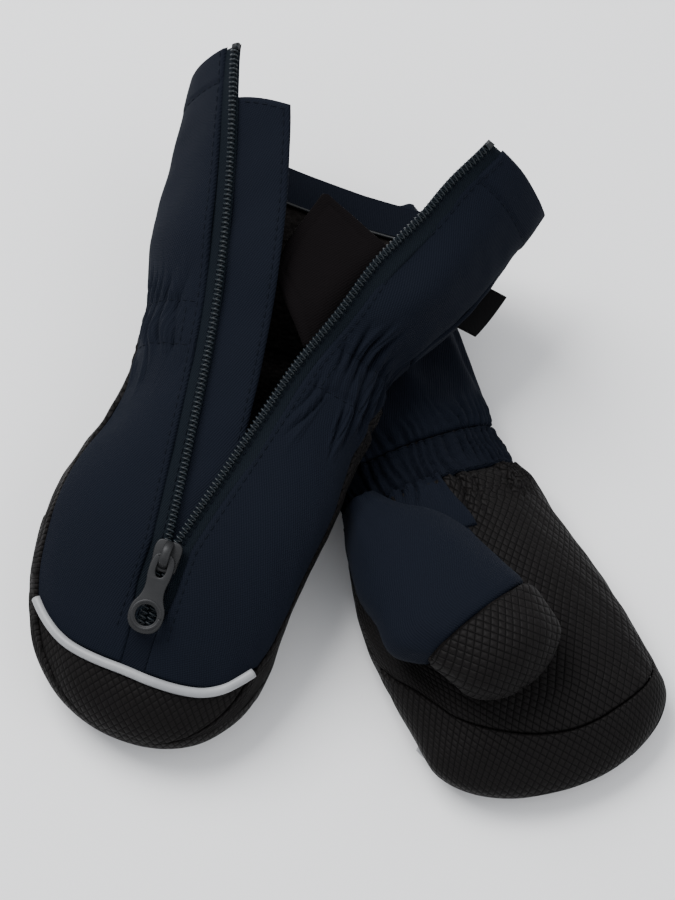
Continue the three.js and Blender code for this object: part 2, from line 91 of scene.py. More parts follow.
RIGHT = {
    "name": "right", "tip": (70, -116), "heading": -21.2, "nose": 24, "back": 270,
    "wrist": (110, 126), "rows": (110, 126), "hem": 216,
    "left": [(0, -30), (20, -34), (45, -37), (70, -38), (96, -33.5), (117, -27.5), (134, -30), (157, -33),
             (216, -38)],
    "right": [(0, 47), (20, 47.5), (45, 45.5), (70, 41), (90, 36.5), (104, 34.5), (112, 31), (121, 28.8),
              (134, 31), (157, 32), (216, 38)],
    "top": [(0, 20), (20, 25), (45, 29), (75, 29.5), (100, 27), (118, 23), (134, 23), (157, 20.5),
            (180, 17.5), (216, 17.5)],
    "bottom": [(0, -2.4), (216, -2.4)],
    "waist": [(0, 9), (20, 11), (60, 13), (118, 11), (157, 9.5), (216, 8.5)],
    "inner": [(0, 2.5), (216, 0)], "outer": [(0, 2.5), (216, 0)],
    "chain_start": 30, "slider": 204, "piping": 17,
    "thumb": {"tip": (29, 2), "base": (106, -14)},
}


# ---------------------------------------------------------------- numbers
def lerp(a, b, f):
    """From a to b as f goes from 0 to 1."""
    return a + (b - a) * f


def ramp(x, a, b):
    """0 up to a, 1 from b, and smooth between."""
    f = np.clip((x - a) / (b - a), 0, 1)
    return f * f * (3 - 2 * f)


def bump(x, centre, half):
    """1 at the centre, falling smoothly to 0 at half away."""
    f = np.clip(1 - np.abs(x - centre) / half, 0, 1)
    return f * f * (3 - 2 * f)


def curve(keys):
    """A smooth curve through (position, value) keys."""
    x, y = np.array(keys, float).T
    ahead = np.minimum(np.arange(len(x)) + 1, len(x) - 1)
    behind = np.maximum(np.arange(len(x)) - 1, 0)
    slope = (y[ahead] - y[behind]) / (x[ahead] - x[behind])

    def value(q):
        q = np.clip(np.asarray(q, float), x[0], x[-1])
        i = np.clip(np.searchsorted(x, q, "right") - 1, 0, len(x) - 2)
        w = x[i + 1] - x[i]
        s = (q - x[i]) / w
        s2, s3 = s * s, s ** 3
        return ((2 * s3 - 3 * s2 + 1) * y[i] + (s3 - 2 * s2 + s) * w * slope[i]
                + (3 * s2 - 2 * s3) * y[i + 1] + (s3 - s2) * w * slope[i + 1])

    return value


def waves(u, a, seed, scale):
    """Soft uneven wrinkles over two lengths, about -1 to 1."""
    rng = np.random.default_rng(seed)
    total, count = 0, 6
    for _ in range(count):
        turn, phase = rng.uniform(0, 2 * math.pi, 2)
        size = scale * rng.uniform(0.6, 1.7)
        total = total + np.sin((u * math.cos(turn) + a * math.sin(turn)) * 2 * math.pi / size + phase)
    return total / math.sqrt(count)


# The back between its side seams and the piped seam that crosses it, by degrees towards the thumb side.
BACK_SEAM = {"inner": curve([(28, 66), (50, 66), (75, 68), (100, 76), (126, 84)]),
             "outer": curve([(28, 66), (43, 74), (57, 79), (130, 80)])}
PIPED = curve([(-66, 31), (-60, 27.2), (-53, 23.2), (-46, 20.4), (-38, 18.4), (-25, 16.9), (-10, 16.5),
               (4, 17), (19, 17.6), (31, 18.7), (40, 20.2), (48, 22.6), (57, 26.6), (66, 31.5)])
PIPED_HALF = 65  # degrees of the back that the piped seam takes up on each side
# The wrap's seam across the palm, by degrees from its middle towards the thumb side.
WRAP_SEAM = curve([(-90, 32), (-65, 23.5), (-41, 17.5), (-14, 14), (9, 16), (26, 22), (43, 31.5), (50, 38),
                   (60, 46), (90, 60)])
# The side seams of the open cuff, by degrees from the middle of the back.
FLAP_SEAM = {"inner": 93, "outer": 92}


# ---------------------------------------------------------------- skins
class Skin:
    """The outside of a mitten or thumb: u from finger end to cuff, t degrees round the section, o inset."""

    def __init__(self, spec, place, groove=False):
        self.spec, self.place, self.groove = spec, place, groove
        self.side = {k: curve(spec[k]) for k in ("left", "right", "top", "bottom", "waist")}
        self.drawn = curve(spec["drawn"]) if "drawn" in spec else None

    def local(self, u, t, o=0):
        """A point in the mitten's own mm: v across, u along and z up."""
        u, t, o = np.broadcast_arrays(*(np.asarray(x, float) for x in (u, t, o)))
        if self.drawn:
            u = u - self.drawn((t - self.spec["back"] + 180) % 360 - 180) * ramp(u, 150, 220)
        reach = np.maximum(u - o, 0) / self.spec["nose"]
        s = np.where(reach < 1, np.sqrt(np.clip(1 - (1 - np.minimum(reach, 1)) ** 2, 0, 1)), 1)
        low, high, waist = self.side["left"](u), self.side["right"](u), self.side["waist"](u)
        c, q = np.cos(np.radians(t)), np.sin(np.radians(t))
        n = np.where(q > 0, 2.0, 2.8)
        k = s / (np.abs(c) ** n + np.abs(q) ** n) ** (1 / n)
        rise = np.where(q > 0, self.side["top"](u) - waist, waist - self.side["bottom"](u)) - o
        v = (low + high) / 2 + ((high - low) / 2 - o) * c * k
        z = np.maximum(waist + np.maximum(rise, 0.5) * q * k, o)
        if self.groove:
            off = np.abs(v - lerp(2.5, 0, u / 216)) / GROOVE_HALF
            lift = s * GROOVE_DEPTH * (0.5 + 0.5 * np.cos(math.pi * np.minimum(off, 1)))
            z = z + np.where(q < 0, lift, 0)
        return np.stack([v, u, z], -1)

    def at(self, u, t, o=0):
        """The same point in the frame."""
        return self.place(self.local(u, t, o))

    def arc(self, u, t):
        """mm of skin in one degree there."""
        return np.linalg.norm(self.local(u, t + 1) - self.local(u, t - 1), axis=-1) / 2

    def angle_at(self, u, v):
        """The degrees that lie v mm across, on the back."""
        low, high = self.side["left"](u), self.side["right"](u)
        c = np.degrees(np.arccos(np.clip((v - (low + high) / 2) / ((high - low) / 2), -0.98, 0.98)))
        return c if self.spec["back"] == 90 else 360 - c


class Hand:
    """One mitten: its skin, its place on the table and the two sides of its zip."""

    def __init__(self, spec):
        self.spec = spec
        self.name = spec["name"]
        self.body = spec["name"] + "_mitten"
        self.back = spec["back"]
        self.opens = self.back == 90  # the one that lies back up is unzipped
        self.sign = {"inner": 1 if self.opens else -1, "outer": -1 if self.opens else 1}
        self.skin = Skin(spec, self.place, groove=not self.opens)
        self.chain = {k: curve(spec[k]) for k in ("inner", "outer")}

    def place(self, p):
        """From the mitten's own mm to the frame's metres."""
        h = math.radians(self.spec["heading"])
        x = self.spec["tip"][0] + p[..., 0] * math.cos(h) + p[..., 1] * math.sin(h)
        y = self.spec["tip"][1] - p[..., 0] * math.sin(h) + p[..., 1] * math.cos(h)
        return (np.stack([x, y, p[..., 2]], -1) + SHIFT) * MM

    def edge(self, k, mm):
        """The angle that lies mm away from one side's chain edge, as a function of u."""
        def angle(u):
            t = self.skin.angle_at(u, self.chain[k](u))
            return t + self.sign[k] * (mm(u) if callable(mm) else mm) / self.skin.arc(u, t)
        return angle

    def piping_at(self, t):
        """Where the piped seam crosses the back."""
        return PIPED((np.asarray(t, float) - self.back) * self.sign["inner"])

    def rim(self, t):
        """Where the fingertip wrap ends."""
        away = np.abs((np.asarray(t, float) - self.back + 180) % 360 - 180)
        palm = ((np.asarray(t, float) - self.back - 180) * -self.sign["inner"] + 180) % 360 - 180
        return lerp(0.8, WRAP_SEAM(np.clip(palm, -90, 90)), ramp(away, 62, 94))

    def flat_map(self, u, t):
        """Pattern coordinates for the rounded finger end, as if the cloth were pressed down over it."""
        v, along, z = np.moveaxis(self.skin.local(u, t), -1, 0)
        off = (v - 3.0) / 42
        return np.stack([v + 26 * off ** 3 * (1 - z / 34), (0.77 * along + 0.64 * z) / 0.9], -1)


# ---------------------------------------------------------------- meshes
def new_mesh(name, points, faces, uv):
    """A smooth-shaded object with its cloth coordinates, its doubled points joined."""
    mesh = bpy.data.meshes.new(name)
    mesh.from_pydata([tuple(p) for p in points], [], faces)
    layer = mesh.uv_layers.new(name="Cloth")
    loops = np.zeros(len(mesh.loops), np.int32)
    mesh.loops.foreach_get("vertex_index", loops)
    layer.data.foreach_set("uv", np.asarray(uv, np.float32)[loops].ravel())
    work = bmesh.new()
    work.from_mesh(mesh)
    bmesh.ops.remove_doubles(work, verts=work.verts, dist=1e-6)
    bmesh.ops.recalc_face_normals(work, faces=work.faces)
    work.to_mesh(mesh)
    work.free()
    mesh.polygons.foreach_set("use_smooth", [True] * len(mesh.polygons))
    piece = bpy.data.objects.new(name, mesh)
    bpy.context.scene.collection.objects.link(piece)
    return piece


def lengths(p, axis):
    """Distance along the grid from its first line to each point, in mm."""
    step = np.linalg.norm(np.diff(p, axis=axis), axis=-1) / MM
    zero = np.zeros_like(np.take(step, [0], axis=axis))
    return np.concatenate([zero, np.cumsum(step, axis=axis)], axis=axis)


def grid_sheet(name, outer, inner, uv):
    """A closed sheet between two grids of points."""
    rows, cols = outer.shape[:2]
    ids = np.arange(rows * cols).reshape(rows, cols)
    far = ids + rows * cols

    def quads(a, b, c, d):
        return np.stack([a.ravel(), b.ravel(), c.ravel(), d.ravel()], -1).tolist()

    faces = quads(ids[:-1, :-1], ids[:-1, 1:], ids[1:, 1:], ids[1:, :-1])
    faces += quads(far[:-1, :-1], far[1:, :-1], far[1:, 1:], far[:-1, 1:])
    for a, b in ((ids[0], far[0]), (far[-1], ids[-1]), (far[:, 0], ids[:, 0]), (ids[:, -1], far[:, -1])):
        faces += quads(a[:-1], b[:-1], b[1:], a[1:])
    points = np.concatenate([outer.reshape(-1, 3), inner.reshape(-1, 3)])
    flat = uv.reshape(-1, 2)
    return new_mesh(name, points, faces, np.concatenate([flat, flat]))


def face_of(skin, u, t, detail=None, inset=0.0):
    """Points and outward normals of a skin, carried out by detail(u, t) in mm."""
    u, t = np.broadcast_arrays(np.asarray(u, float), np.asarray(t, float))
    base = skin.at(u, t, inset)
    du = skin.at(u + 0.4, t, inset) - skin.at(np.maximum(u - 0.4, 0.02), t, inset)
    dt = skin.at(u, t + 0.5, inset) - skin.at(u, t - 0.5, inset)
    n = np.cross(du, dt)
    n /= np.maximum(np.linalg.norm(n, axis=-1, keepdims=True), 1e-12)
    outward = skin.at(u, t, np.asarray(inset) - 1.5) - base
    n = n * np.where((n * outward).sum(-1, keepdims=True) < 0, -1, 1)
    rise = 0 if detail is None else detail(u, t)
    return base + n * (np.broadcast_to(rise, u.shape) * MM)[..., None], n


def cloth_panel(name, skin, u0, u1, t0, t1, detail, thick=0.9, inset=0.0, edge=1.1, rounded="uUtT",
                rows=120, cols=60, shares=None, mapped=None):
    """A panel of cloth on a skin, with rolled edges. rounded names the edges that roll: u, U, t and T."""
    f = np.linspace(0, 1, cols + 1)[None, :]
    g = (np.linspace(0, 1, rows + 1) if shares is None else np.asarray(shares))[:, None]
    as_function = lambda x: x if callable(x) else (lambda q: np.full_like(np.asarray(q, float), x))
    t0, t1, depth = as_function(t0), as_function(t1), as_function(inset)

    def settle(end):
        u = np.full_like(f, float(skin.spec.get("piping", 20)))
        for _ in range(24):
            u = (u + end(lerp(t0(u), t1(u), f))) / 2
        return u

    u = lerp(settle(as_function(u0)), settle(as_function(u1)), g)
    t = lerp(t0(u), t1(u), f)
    outer, normal = face_of(skin, u, t, detail, depth(u))
    along, across = lengths(outer, 0), lengths(outer, 1)
    away = {"u": along, "U": along[-1:] - along, "t": across, "T": across[:, -1:] - across}
    near = np.full(u.shape, 1e3)
    for key in rounded:
        near = np.minimum(near, away[key])
    fall = edge * (1 - np.sqrt(1 - np.clip(1 - near / edge, 0, 1) ** 2))
    top = outer - normal * (fall * MM)[..., None]
    under = outer - normal * (np.maximum(thick, fall + 0.05) * MM)[..., None]
    uv = mapped(u, t) if mapped else np.stack([across - across[:, cols // 2:cols // 2 + 1], u], -1)
    return grid_sheet(name, top, under, uv)


def tube(points, radius, sides, flat=1.0, up=None):
    """Vertices and faces of a tube with closed ends. flat squeezes it along up."""
    p = np.asarray(points, float)
    ahead = np.gradient(p, axis=0)
    ahead /= np.linalg.norm(ahead, axis=1, keepdims=True)
    up = np.array([0, 0, 1.0]) if up is None else np.asarray(up, float)
    side = np.cross(ahead, np.broadcast_to(up, ahead.shape))
    side /= np.maximum(np.linalg.norm(side, axis=1, keepdims=True), 1e-9)
    top = np.cross(side, ahead)
    a = np.linspace(0, 2 * math.pi, sides, endpoint=False)
    ring = (side[:, None] * np.cos(a)[None, :, None] + top[:, None] * (np.sin(a) * flat)[None, :, None])
    verts = (p[:, None] + ring * np.broadcast_to(radius, (len(p),))[:, None, None]).reshape(-1, 3)
    faces = []
    for i in range(len(p) - 1):
        for k in range(sides):
            n = (k + 1) % sides
            faces.append((i * sides + k, i * sides + n, (i + 1) * sides + n, (i + 1) * sides + k))
    faces += [tuple(range(sides)), tuple(range(len(verts) - 1, len(verts) - 1 - sides, -1))]
    return verts, faces


def join_parts(name, parts):
    """One object from several sets of points and faces."""
    points, faces, n = [], [], 0
    for verts, some in parts:
        points.append(verts)
        faces += [tuple(i + n for i in face) for face in some]
        n += len(verts)
    points = np.concatenate(points)
    return new_mesh(name, points, faces, points[:, :2] / MM)


def run_of(points):
    """Distance along a path to each of its points."""
    return np.concatenate([[0], np.cumsum(np.linalg.norm(np.diff(points, axis=0), axis=1))])


def along_path(q, s, points):
    """The points at distances q along a path whose own points lie at distances s."""
    return np.stack([np.interp(q, s, points[:, i]) for i in range(3)], -1)


def stitch_line(points, normals):
    """One row of stitches along a path, as small sunk-ended capsules."""
    length, gap, width = (x * MM for x in STITCH)
    shares = np.array([0, 0.12, 0.35, 0.65, 0.88, 1])
    lift = np.array([-0.22, 0.02, 0.12, 0.12, 0.02, -0.22]) * MM
    radius = width / 2 * np.array([0.5, 0.9, 1, 1, 0.9, 0.5])
    s = run_of(points)
    parts = []
    for start in np.arange(0.0005, s[-1] - length, length + gap):
        q = start + length * shares
        out = along_path(q, s, normals)
        parts.append(tube(along_path(q, s, points) + out * lift[:, None], radius, 6, up=out[2]))
    return parts


# ---------------------------------------------------------------- shader groups
def group(name, outputs, **values):
    """An empty shader group that takes a vector and some values, with its input and output nodes."""
    tree = bpy.data.node_groups.new(name, "ShaderNodeTree")
    tree.interface.new_socket("Vector", in_out="INPUT", socket_type="NodeSocketVector")
    for label, value in values.items():
        socket = tree.interface.new_socket(label, in_out="INPUT", socket_type="NodeSocketFloat")
        socket.default_value = value
    for label in outputs:
        tree.interface.new_socket(label, in_out="OUTPUT", socket_type="NodeSocketFloat")
    return tree, tree.nodes.new("NodeGroupInput"), tree.nodes.new("NodeGroupOutput")


def maths(tree, operation, a, b=None, c=None, clamp=False):
    """One sum on numbers or sockets."""
    node = tree.nodes.new("ShaderNodeMath")
    node.operation = operation
    node.use_clamp = clamp
    for i, value in enumerate((a, b, c)):
        if value is None:
            continue
        if isinstance(value, (int, float)):
            node.inputs[i].default_value = value
        else:
            tree.links.new(value, node.inputs[i])
    return node.outputs[0]


def split(tree, vector):
    """The first two parts of a vector."""
    node = tree.nodes.new("ShaderNodeSeparateXYZ")
    tree.links.new(vector, node.inputs[0])
    return node.outputs[0], node.outputs[1]


def wave_of(tree, value, pitch):
    """A sine with the given pitch."""
    turns = maths(tree, "DIVIDE", value, pitch)
    return maths(tree, "SINE", maths(tree, "MULTIPLY", turns, 2 * math.pi))


def twill_group():
    """Fine diagonal twill: a height for bump, and a painted shade that follows the ribs, darker in their
    valleys.
    """
    tree, given, out = group("Fine twill", ("Height", "Shade"), Pitch=0.8)
    x, y = split(tree, given.outputs["Vector"])
    pitch = given.outputs["Pitch"]
    rib = wave_of(tree, maths(tree, "ADD", x, maths(tree, "MULTIPLY", y, 0.55)), pitch)
    warp = wave_of(tree, maths(tree, "SUBTRACT", y, maths(tree, "MULTIPLY", x, 0.2)),
                   maths(tree, "MULTIPLY", pitch, 0.62))
    height = maths(tree, "ADD", maths(tree, "MULTIPLY", rib, 0.5), maths(tree, "MULTIPLY", warp, 0.3))
    tree.links.new(height, out.inputs["Height"])
    # painted shade: a colour factor taken from the ribs' height, darker in their valleys
    tree.links.new(maths(tree, "MULTIPLY_ADD", height, 0.5, 0.5, clamp=True), out.inputs["Shade"])
    return tree


def diamond_group():
    """Embossed diamonds: raised lozenges parted by narrow grooves."""
    tree, given, out = group("Diamond emboss", ("Height", "Groove"), Wide=2.6, Long=3.2)
    x, y = split(tree, given.outputs["Vector"])
    across = maths(tree, "DIVIDE", x, given.outputs["Wide"])
    along = maths(tree, "DIVIDE", y, given.outputs["Long"])
    lines = []
    for sum_kind in ("ADD", "SUBTRACT"):
        turn = maths(tree, "MULTIPLY", maths(tree, sum_kind, across, along), math.pi)
        lines.append(maths(tree, "ABSOLUTE", maths(tree, "SINE", turn)))
    low = maths(tree, "MINIMUM", lines[0], lines[1])
    height = maths(tree, "POWER", low, 0.55)
    tree.links.new(height, out.inputs["Height"])
    groove = maths(tree, "SUBTRACT", 1.0, maths(tree, "MULTIPLY", low, 2.6, clamp=True), clamp=True)
    tree.links.new(groove, out.inputs["Groove"])
    return tree


def mottle_group():
    """Slow and fine unevenness, each about 0 to 1."""
    tree, given, out = group("Cloth mottle", ("Slow", "Fine"), Slow=40.0, Fine=900.0)
    for label, detail in (("Slow", 3.0), ("Fine", 2.0)):
        noise = tree.nodes.new("ShaderNodeTexNoise")
        noise.inputs["Detail"].default_value = detail
        tree.links.new(given.outputs["Vector"], noise.inputs["Vector"])
        tree.links.new(given.outputs[label], noise.inputs["Scale"])
        tree.links.new(noise.outputs["Fac"], out.inputs[label])
    return tree


def pile_group():
    """Fleece pile: small curls over larger tufts, and a painted light that is brighter where the tufts stand
    high.
    """
    tree, given, out = group("Fleece pile", ("Height", "Tip"), Scale=600.0)
    curls = tree.nodes.new("ShaderNodeTexVoronoi")
    curls.feature = "SMOOTH_F1"
    tufts = tree.nodes.new("ShaderNodeTexNoise")
    tufts.inputs["Detail"].default_value = 4
    for node, share in ((curls, 1.0), (tufts, 0.35)):
        tree.links.new(given.outputs["Vector"], node.inputs["Vector"])
        tree.links.new(maths(tree, "MULTIPLY", given.outputs["Scale"], share), node.inputs["Scale"])
    height = maths(tree, "ADD", maths(tree, "SUBTRACT", 1.0, curls.outputs["Distance"]),
                   maths(tree, "MULTIPLY", tufts.outputs["Fac"], 0.9))
    tree.links.new(height, out.inputs["Height"])
    # painted light: brighter where the tufts rise
    tip = maths(tree, "MULTIPLY_ADD", tufts.outputs["Fac"], 1.6, -0.4, clamp=True)
    tree.links.new(tip, out.inputs["Tip"])
    return tree


GROUPS = {"twill": twill_group(), "diamond": diamond_group(), "mottle": mottle_group(), "pile": pile_group()}


class Finish:
    """A material under construction: its Principled shader and its coordinates."""

    def __init__(self, name, roughness=0.7, **fixed):
        self.material = bpy.data.materials.new(name)
        self.material.use_nodes = True
        self.tree = self.material.node_tree
        self.shader = self.tree.nodes["Principled BSDF"]
        self.shader.inputs["Roughness"].default_value = roughness
        for label, value in fixed.items():
            self.shader.inputs[label.replace("_", " ")].default_value = value
        uv = self.tree.nodes.new("ShaderNodeUVMap")
        uv.uv_map = "Cloth"
        self.cloth = uv.outputs[0]
        self.space = self.tree.nodes.new("ShaderNodeTexCoord").outputs["Object"]

    def use(self, key, vector, **values):
        """A shader group with this finish's own values."""
        node = self.tree.nodes.new("ShaderNodeGroup")
        node.node_tree = GROUPS[key]
        self.tree.links.new(vector, node.inputs["Vector"])
        for label, value in values.items():
            node.inputs[label].default_value = value
        return node.outputs

    def blend_colours(self, factor, dark, light):
        """A colour between two, each plain or from another node."""
        node = self.tree.nodes.new("ShaderNodeMix")
        node.data_type = "RGBA"
        self.tree.links.new(factor, node.inputs["Factor"])
        for socket, colour in ((node.inputs["A"], dark), (node.inputs["B"], light)):
            if isinstance(colour, tuple):
                socket.default_value = (*colour, 1)
            else:
                self.tree.links.new(colour, socket)
        return node.outputs["Result"]

    def range(self, factor, low, high):
        """A value between two numbers."""
        node = self.tree.nodes.new("ShaderNodeMapRange")
        self.tree.links.new(factor, node.inputs["Value"])
        node.inputs["To Min"].default_value = low
        node.inputs["To Max"].default_value = high
        return node.outputs["Result"]

    def set(self, label, value):
        self.tree.links.new(value, self.shader.inputs[label])

    def bump(self, height, strength, distance, under=None):
        node = self.tree.nodes.new("ShaderNodeBump")
        node.inputs["Strength"].default_value = strength
        node.inputs["Distance"].default_value = distance
        self.tree.links.new(height, node.inputs["Height"])
        if under is not None:
            self.tree.links.new(under, node.inputs["Normal"])
        return node.outputs["Normal"]


def shell_cloth(name, dark, light, sheen):
    """Proofed nylon twill: soft sheen, ribs with painted shade in their valleys, and slow changes of tone."""
    m = Finish(name, 0.8, Specular_IOR_Level=0.05, Sheen_Weight=sheen, Sheen_Roughness=0.45,
               Sheen_Tint=(0.55, 0.65, 0.85, 1))
    weave = m.use("twill", m.cloth, Pitch=0.85)
    mottle = m.use("mottle", m.space, Slow=45.0, Fine=1400.0)
    # painted shade: the cloth's colour darkens in the valleys of the twill's ribs
    ribs = m.blend_colours(weave["Shade"], dark, light)
    m.set("Base Color", m.blend_colours(m.range(mottle["Slow"], 0.0, 0.45), ribs, light))
    m.set("Roughness", m.range(mottle["Slow"], 0.7, 0.85))
    soft = m.bump(mottle["Fine"], 0.25, 0.0002)
    m.set("Normal", m.bump(weave["Height"], 0.55, 0.00022, soft))
    return m.material


def grip_cloth():
    """Black coated cloth, embossed with diamonds, with painted shade in the grooves."""
    m = Finish("Grip cloth, embossed", 0.56, Sheen_Weight=0.004, Specular_IOR_Level=0.07)
    emboss = m.use("diamond", m.cloth, Wide=2.9, Long=3.7)
    mottle = m.use("mottle", m.space, Slow=55.0, Fine=1800.0)
    worn = m.range(mottle["Slow"], 0.2, 0.9)
    raised = m.blend_colours(worn, (0.0030, 0.0026, 0.0026), (0.0064, 0.0055, 0.0055))
    # painted shade: the grooves between the diamonds are coloured darker than the raised lozenges
    m.set("Base Color", m.blend_colours(emboss["Groove"], raised, (0.0012, 0.0011, 0.0011)))
    m.set("Roughness", m.range(emboss["Groove"], 0.56, 0.85))
    grain = m.bump(mottle["Fine"], 0.35, 0.00012)
    m.set("Normal", m.bump(emboss["Height"], 0.8, 0.0005, grain))
    return m.material


def fleece_cloth():
    """Warm black fleece, painted lighter where its tufts stand high."""
    m = Finish("Fleece lining", 0.95, Specular_IOR_Level=0.05, Sheen_Weight=0.04, Sheen_Roughness=0.7,
               Sheen_Tint=(0.8, 0.72, 0.68, 1))
    pile = m.use("pile", m.space, Scale=650.0)
    # painted light on the pile: the colour is lighter where the tufts stand high
    m.set("Base Color", m.blend_colours(pile["Tip"], (0.0022, 0.0018, 0.0018), (0.0085, 0.0072, 0.0068)))
    m.set("Normal", m.bump(pile["Height"], 0.8, 0.0011))
    return m.material


def brushed_cloth():
    """Short brushed knit, as on the band behind the zip."""
    m = Finish("Brushed knit band", 0.9, Specular_IOR_Level=0.02, Sheen_Weight=0.006, Sheen_Roughness=0.6,
               Sheen_Tint=(0.8, 0.72, 0.7, 1))
    weave = m.use("twill", m.cloth, Pitch=1.1)
    mottle = m.use("mottle", m.space, Slow=90.0, Fine=1100.0)
    # painted shade: the knit's colour darkens in the valleys of its ribs
    shade = m.blend_colours(weave["Shade"], (0.0022, 0.0018, 0.0020), (0.0046, 0.0038, 0.0041))
    m.set("Base Color", m.blend_colours(m.range(mottle["Slow"], 0.0, 0.5), shade, (0.0058, 0.0048, 0.0052)))
    m.set("Normal", m.bump(weave["Height"], 0.3, 0.0002, m.bump(mottle["Fine"], 0.5, 0.0004)))
    return m.material


def zip_cloth():
    """Woven zip tape, a bluer green than the shell."""
    m = Finish("Zip tape", 0.75, Specular_IOR_Level=0.07, Sheen_Weight=0.01)
    weave = m.use("twill", m.cloth, Pitch=0.7)
    mottle = m.use("mottle", m.space, Slow=70.0, Fine=1500.0)
    # painted shade: the tape's colour darkens in the valleys of its weave
    m.set("Base Color", m.blend_colours(weave["Shade"], (0.0017, 0.0030, 0.0054), (0.0046, 0.0080, 0.0118)))
    m.set("Roughness", m.range(mottle["Fine"], 0.62, 0.82))
    m.set("Normal", m.bump(weave["Height"], 0.6, 0.0002))
    return m.material


def ribbon():
    """Woven black label ribbon."""
    m = Finish("Label ribbon", 0.65, Specular_IOR_Level=0.05)
    weave = m.use("twill", m.cloth, Pitch=0.5)
    # painted shade: the ribbon's colour darkens in the valleys of its weave
    m.set("Base Color", m.blend_colours(weave["Shade"], (0.0012, 0.0012, 0.0014), (0.0036, 0.0036, 0.0040)))
    m.set("Normal", m.bump(weave["Height"], 0.5, 0.00015))
    return m.material


def plain_finish(name, roughness, slow, fine, dark, light, rough, grain=None, **fixed):
    """A finish whose shade, gloss and grain follow only the mottle."""
    m = Finish(name, roughness, **fixed)
    mottle = m.use("mottle", m.space, Slow=slow, Fine=fine)
    m.set("Base Color", m.blend_colours(mottle["Slow"], dark, light))
    if rough:
        m.set("Roughness", m.range(mottle["Fine"], *rough))
    if grain:
        m.set("Normal", m.bump(mottle["Fine"], *grain))
    return m.material


FINISH = {
    "shell": shell_cloth("Navy shell cloth", (0.0026, 0.0036, 0.0068), (0.0054, 0.0072, 0.0124), 0.012),
    # the shell cloth copied about an eighth darker: painted shade for the wrist band, the zip placket and the
    # cuff's facing
    "shell_dark": shell_cloth("Navy band cloth", (0.0023, 0.0031, 0.0059), (0.0047, 0.0063, 0.0108), 0.012),
    "grip": grip_cloth(),
    "fleece": fleece_cloth(),
    "brushed": brushed_cloth(),
    "tape": zip_cloth(),
    "label": ribbon(),
    "piping": plain_finish("Reflective piping", 0.42, 120.0, 3200.0, (0.17, 0.174, 0.182), (0.29, 0.296, 0.304),
                           (0.34, 0.55), (0.3, 0.0001), Sheen_Weight=0.1),
    "coil": plain_finish("Coil nylon", 0.36, 90.0, 2600.0, (0.0030, 0.0056, 0.0080), (0.0066, 0.0110, 0.0145),
                         (0.26, 0.44), (0.15, 0.00005), Specular_IOR_Level=0.25),
    "metal": plain_finish("Dark lacquered zinc", 0.42, 160.0, 2200.0, (0.013, 0.0133, 0.0142),
                          (0.027, 0.0276, 0.029), (0.36, 0.56), (0.12, 0.00006), Metallic=0.5,
                          Specular_IOR_Level=0.25),
    "thread": plain_finish("Sewing thread", 0.7, 300.0, 5000.0, (0.0022, 0.0032, 0.0060),
                           (0.0052, 0.0072, 0.0118), None, (0.4, 0.0001), Specular_IOR_Level=0.06),
    "film": plain_finish("Clear end film", 0.4, 200.0, 2600.0, (0.004, 0.005, 0.006), (0.010, 0.0115, 0.013),
                         (0.35, 0.55), Specular_IOR_Level=0.25),
}


def dress(piece, finish, body=None, bend=None, stands_for=()):
    """Gives a piece its finish and its body; given a bend, it only bakes the piece's place into its points and
    gives it no body.
    """
    piece.data.materials.clear()
    piece.data.materials.append(FINISH[finish])
    if bend:
        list(bend[:2])
        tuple(bend[2])
        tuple(bend[3])
        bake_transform(piece)
    else:
        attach(piece, body)
    if stands_for:
        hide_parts(*stands_for)
    return piece


# ---------------------------------------------------------------- the surface of each mitten
def side_half(hand, k):
    """Degrees from the middle of the back to the side seam: wider on a cuff that opens."""
    seam = BACK_SEAM[k]
    if not hand.opens:
        return seam
    return lambda u: lerp(seam(u), FLAP_SEAM[k], ramp(np.asarray(u, float), 116, 150))


def seam_angle(hand, k, turns=0):
    """The side seam's degrees along the mitten, one turn on where turns is 1."""
    half = side_half(hand, k)
    return lambda u: hand.back + hand.sign[k] * half(u) + 360 * turns


def gathers(hand, u, t, strength, pitch, seed):
    """Uneven creases that fan out from the wrist elastic, sharp in their valleys."""
    first, last = hand.spec["rows"]
    a = (t - hand.back) * ARC
    off = u - (first + last) / 2
    along = waves(a, a * 0, seed, 15)
    reach = 15 + 7 * along
    near = np.clip(1 - np.maximum(np.abs(off + 3 * along) - 7, 0) / np.maximum(reach, 7), 0, 1) ** 1.1
    sway = waves(u, a, seed + 1, 30) * 1.5 + off * 0.05 * np.sin(a / 9.0 + seed)
    fold = np.abs(np.sin(math.pi * a / pitch + sway)) ** 0.6
    small = np.abs(np.sin(math.pi * a / (pitch * 0.43) + waves(u, a, seed + 2, 17) * 2.1)) ** 0.8
    uneven = 0.8 + 0.5 * waves(u, a, seed + 3, 19)
    return strength * near * np.clip(uneven, 0.1, 1.7) * (fold * 2.0 - 1.25 + (small - 0.6) * 0.55)


def sewn_band(u, t, first, last):
    """Two sewn valleys, not quite straight, with a raised channel between them."""
    stray = waves(t * ARC, t * 0, 77, 13) * 0.9
    depth, width = 0.7, 2.4
    return (-depth * bump(u, first + 0.8 + stray, width) - depth * bump(u, last - 0.8 - stray, width)
            + 0.4 * bump(u, (first + last) / 2, (last - first) / 2))


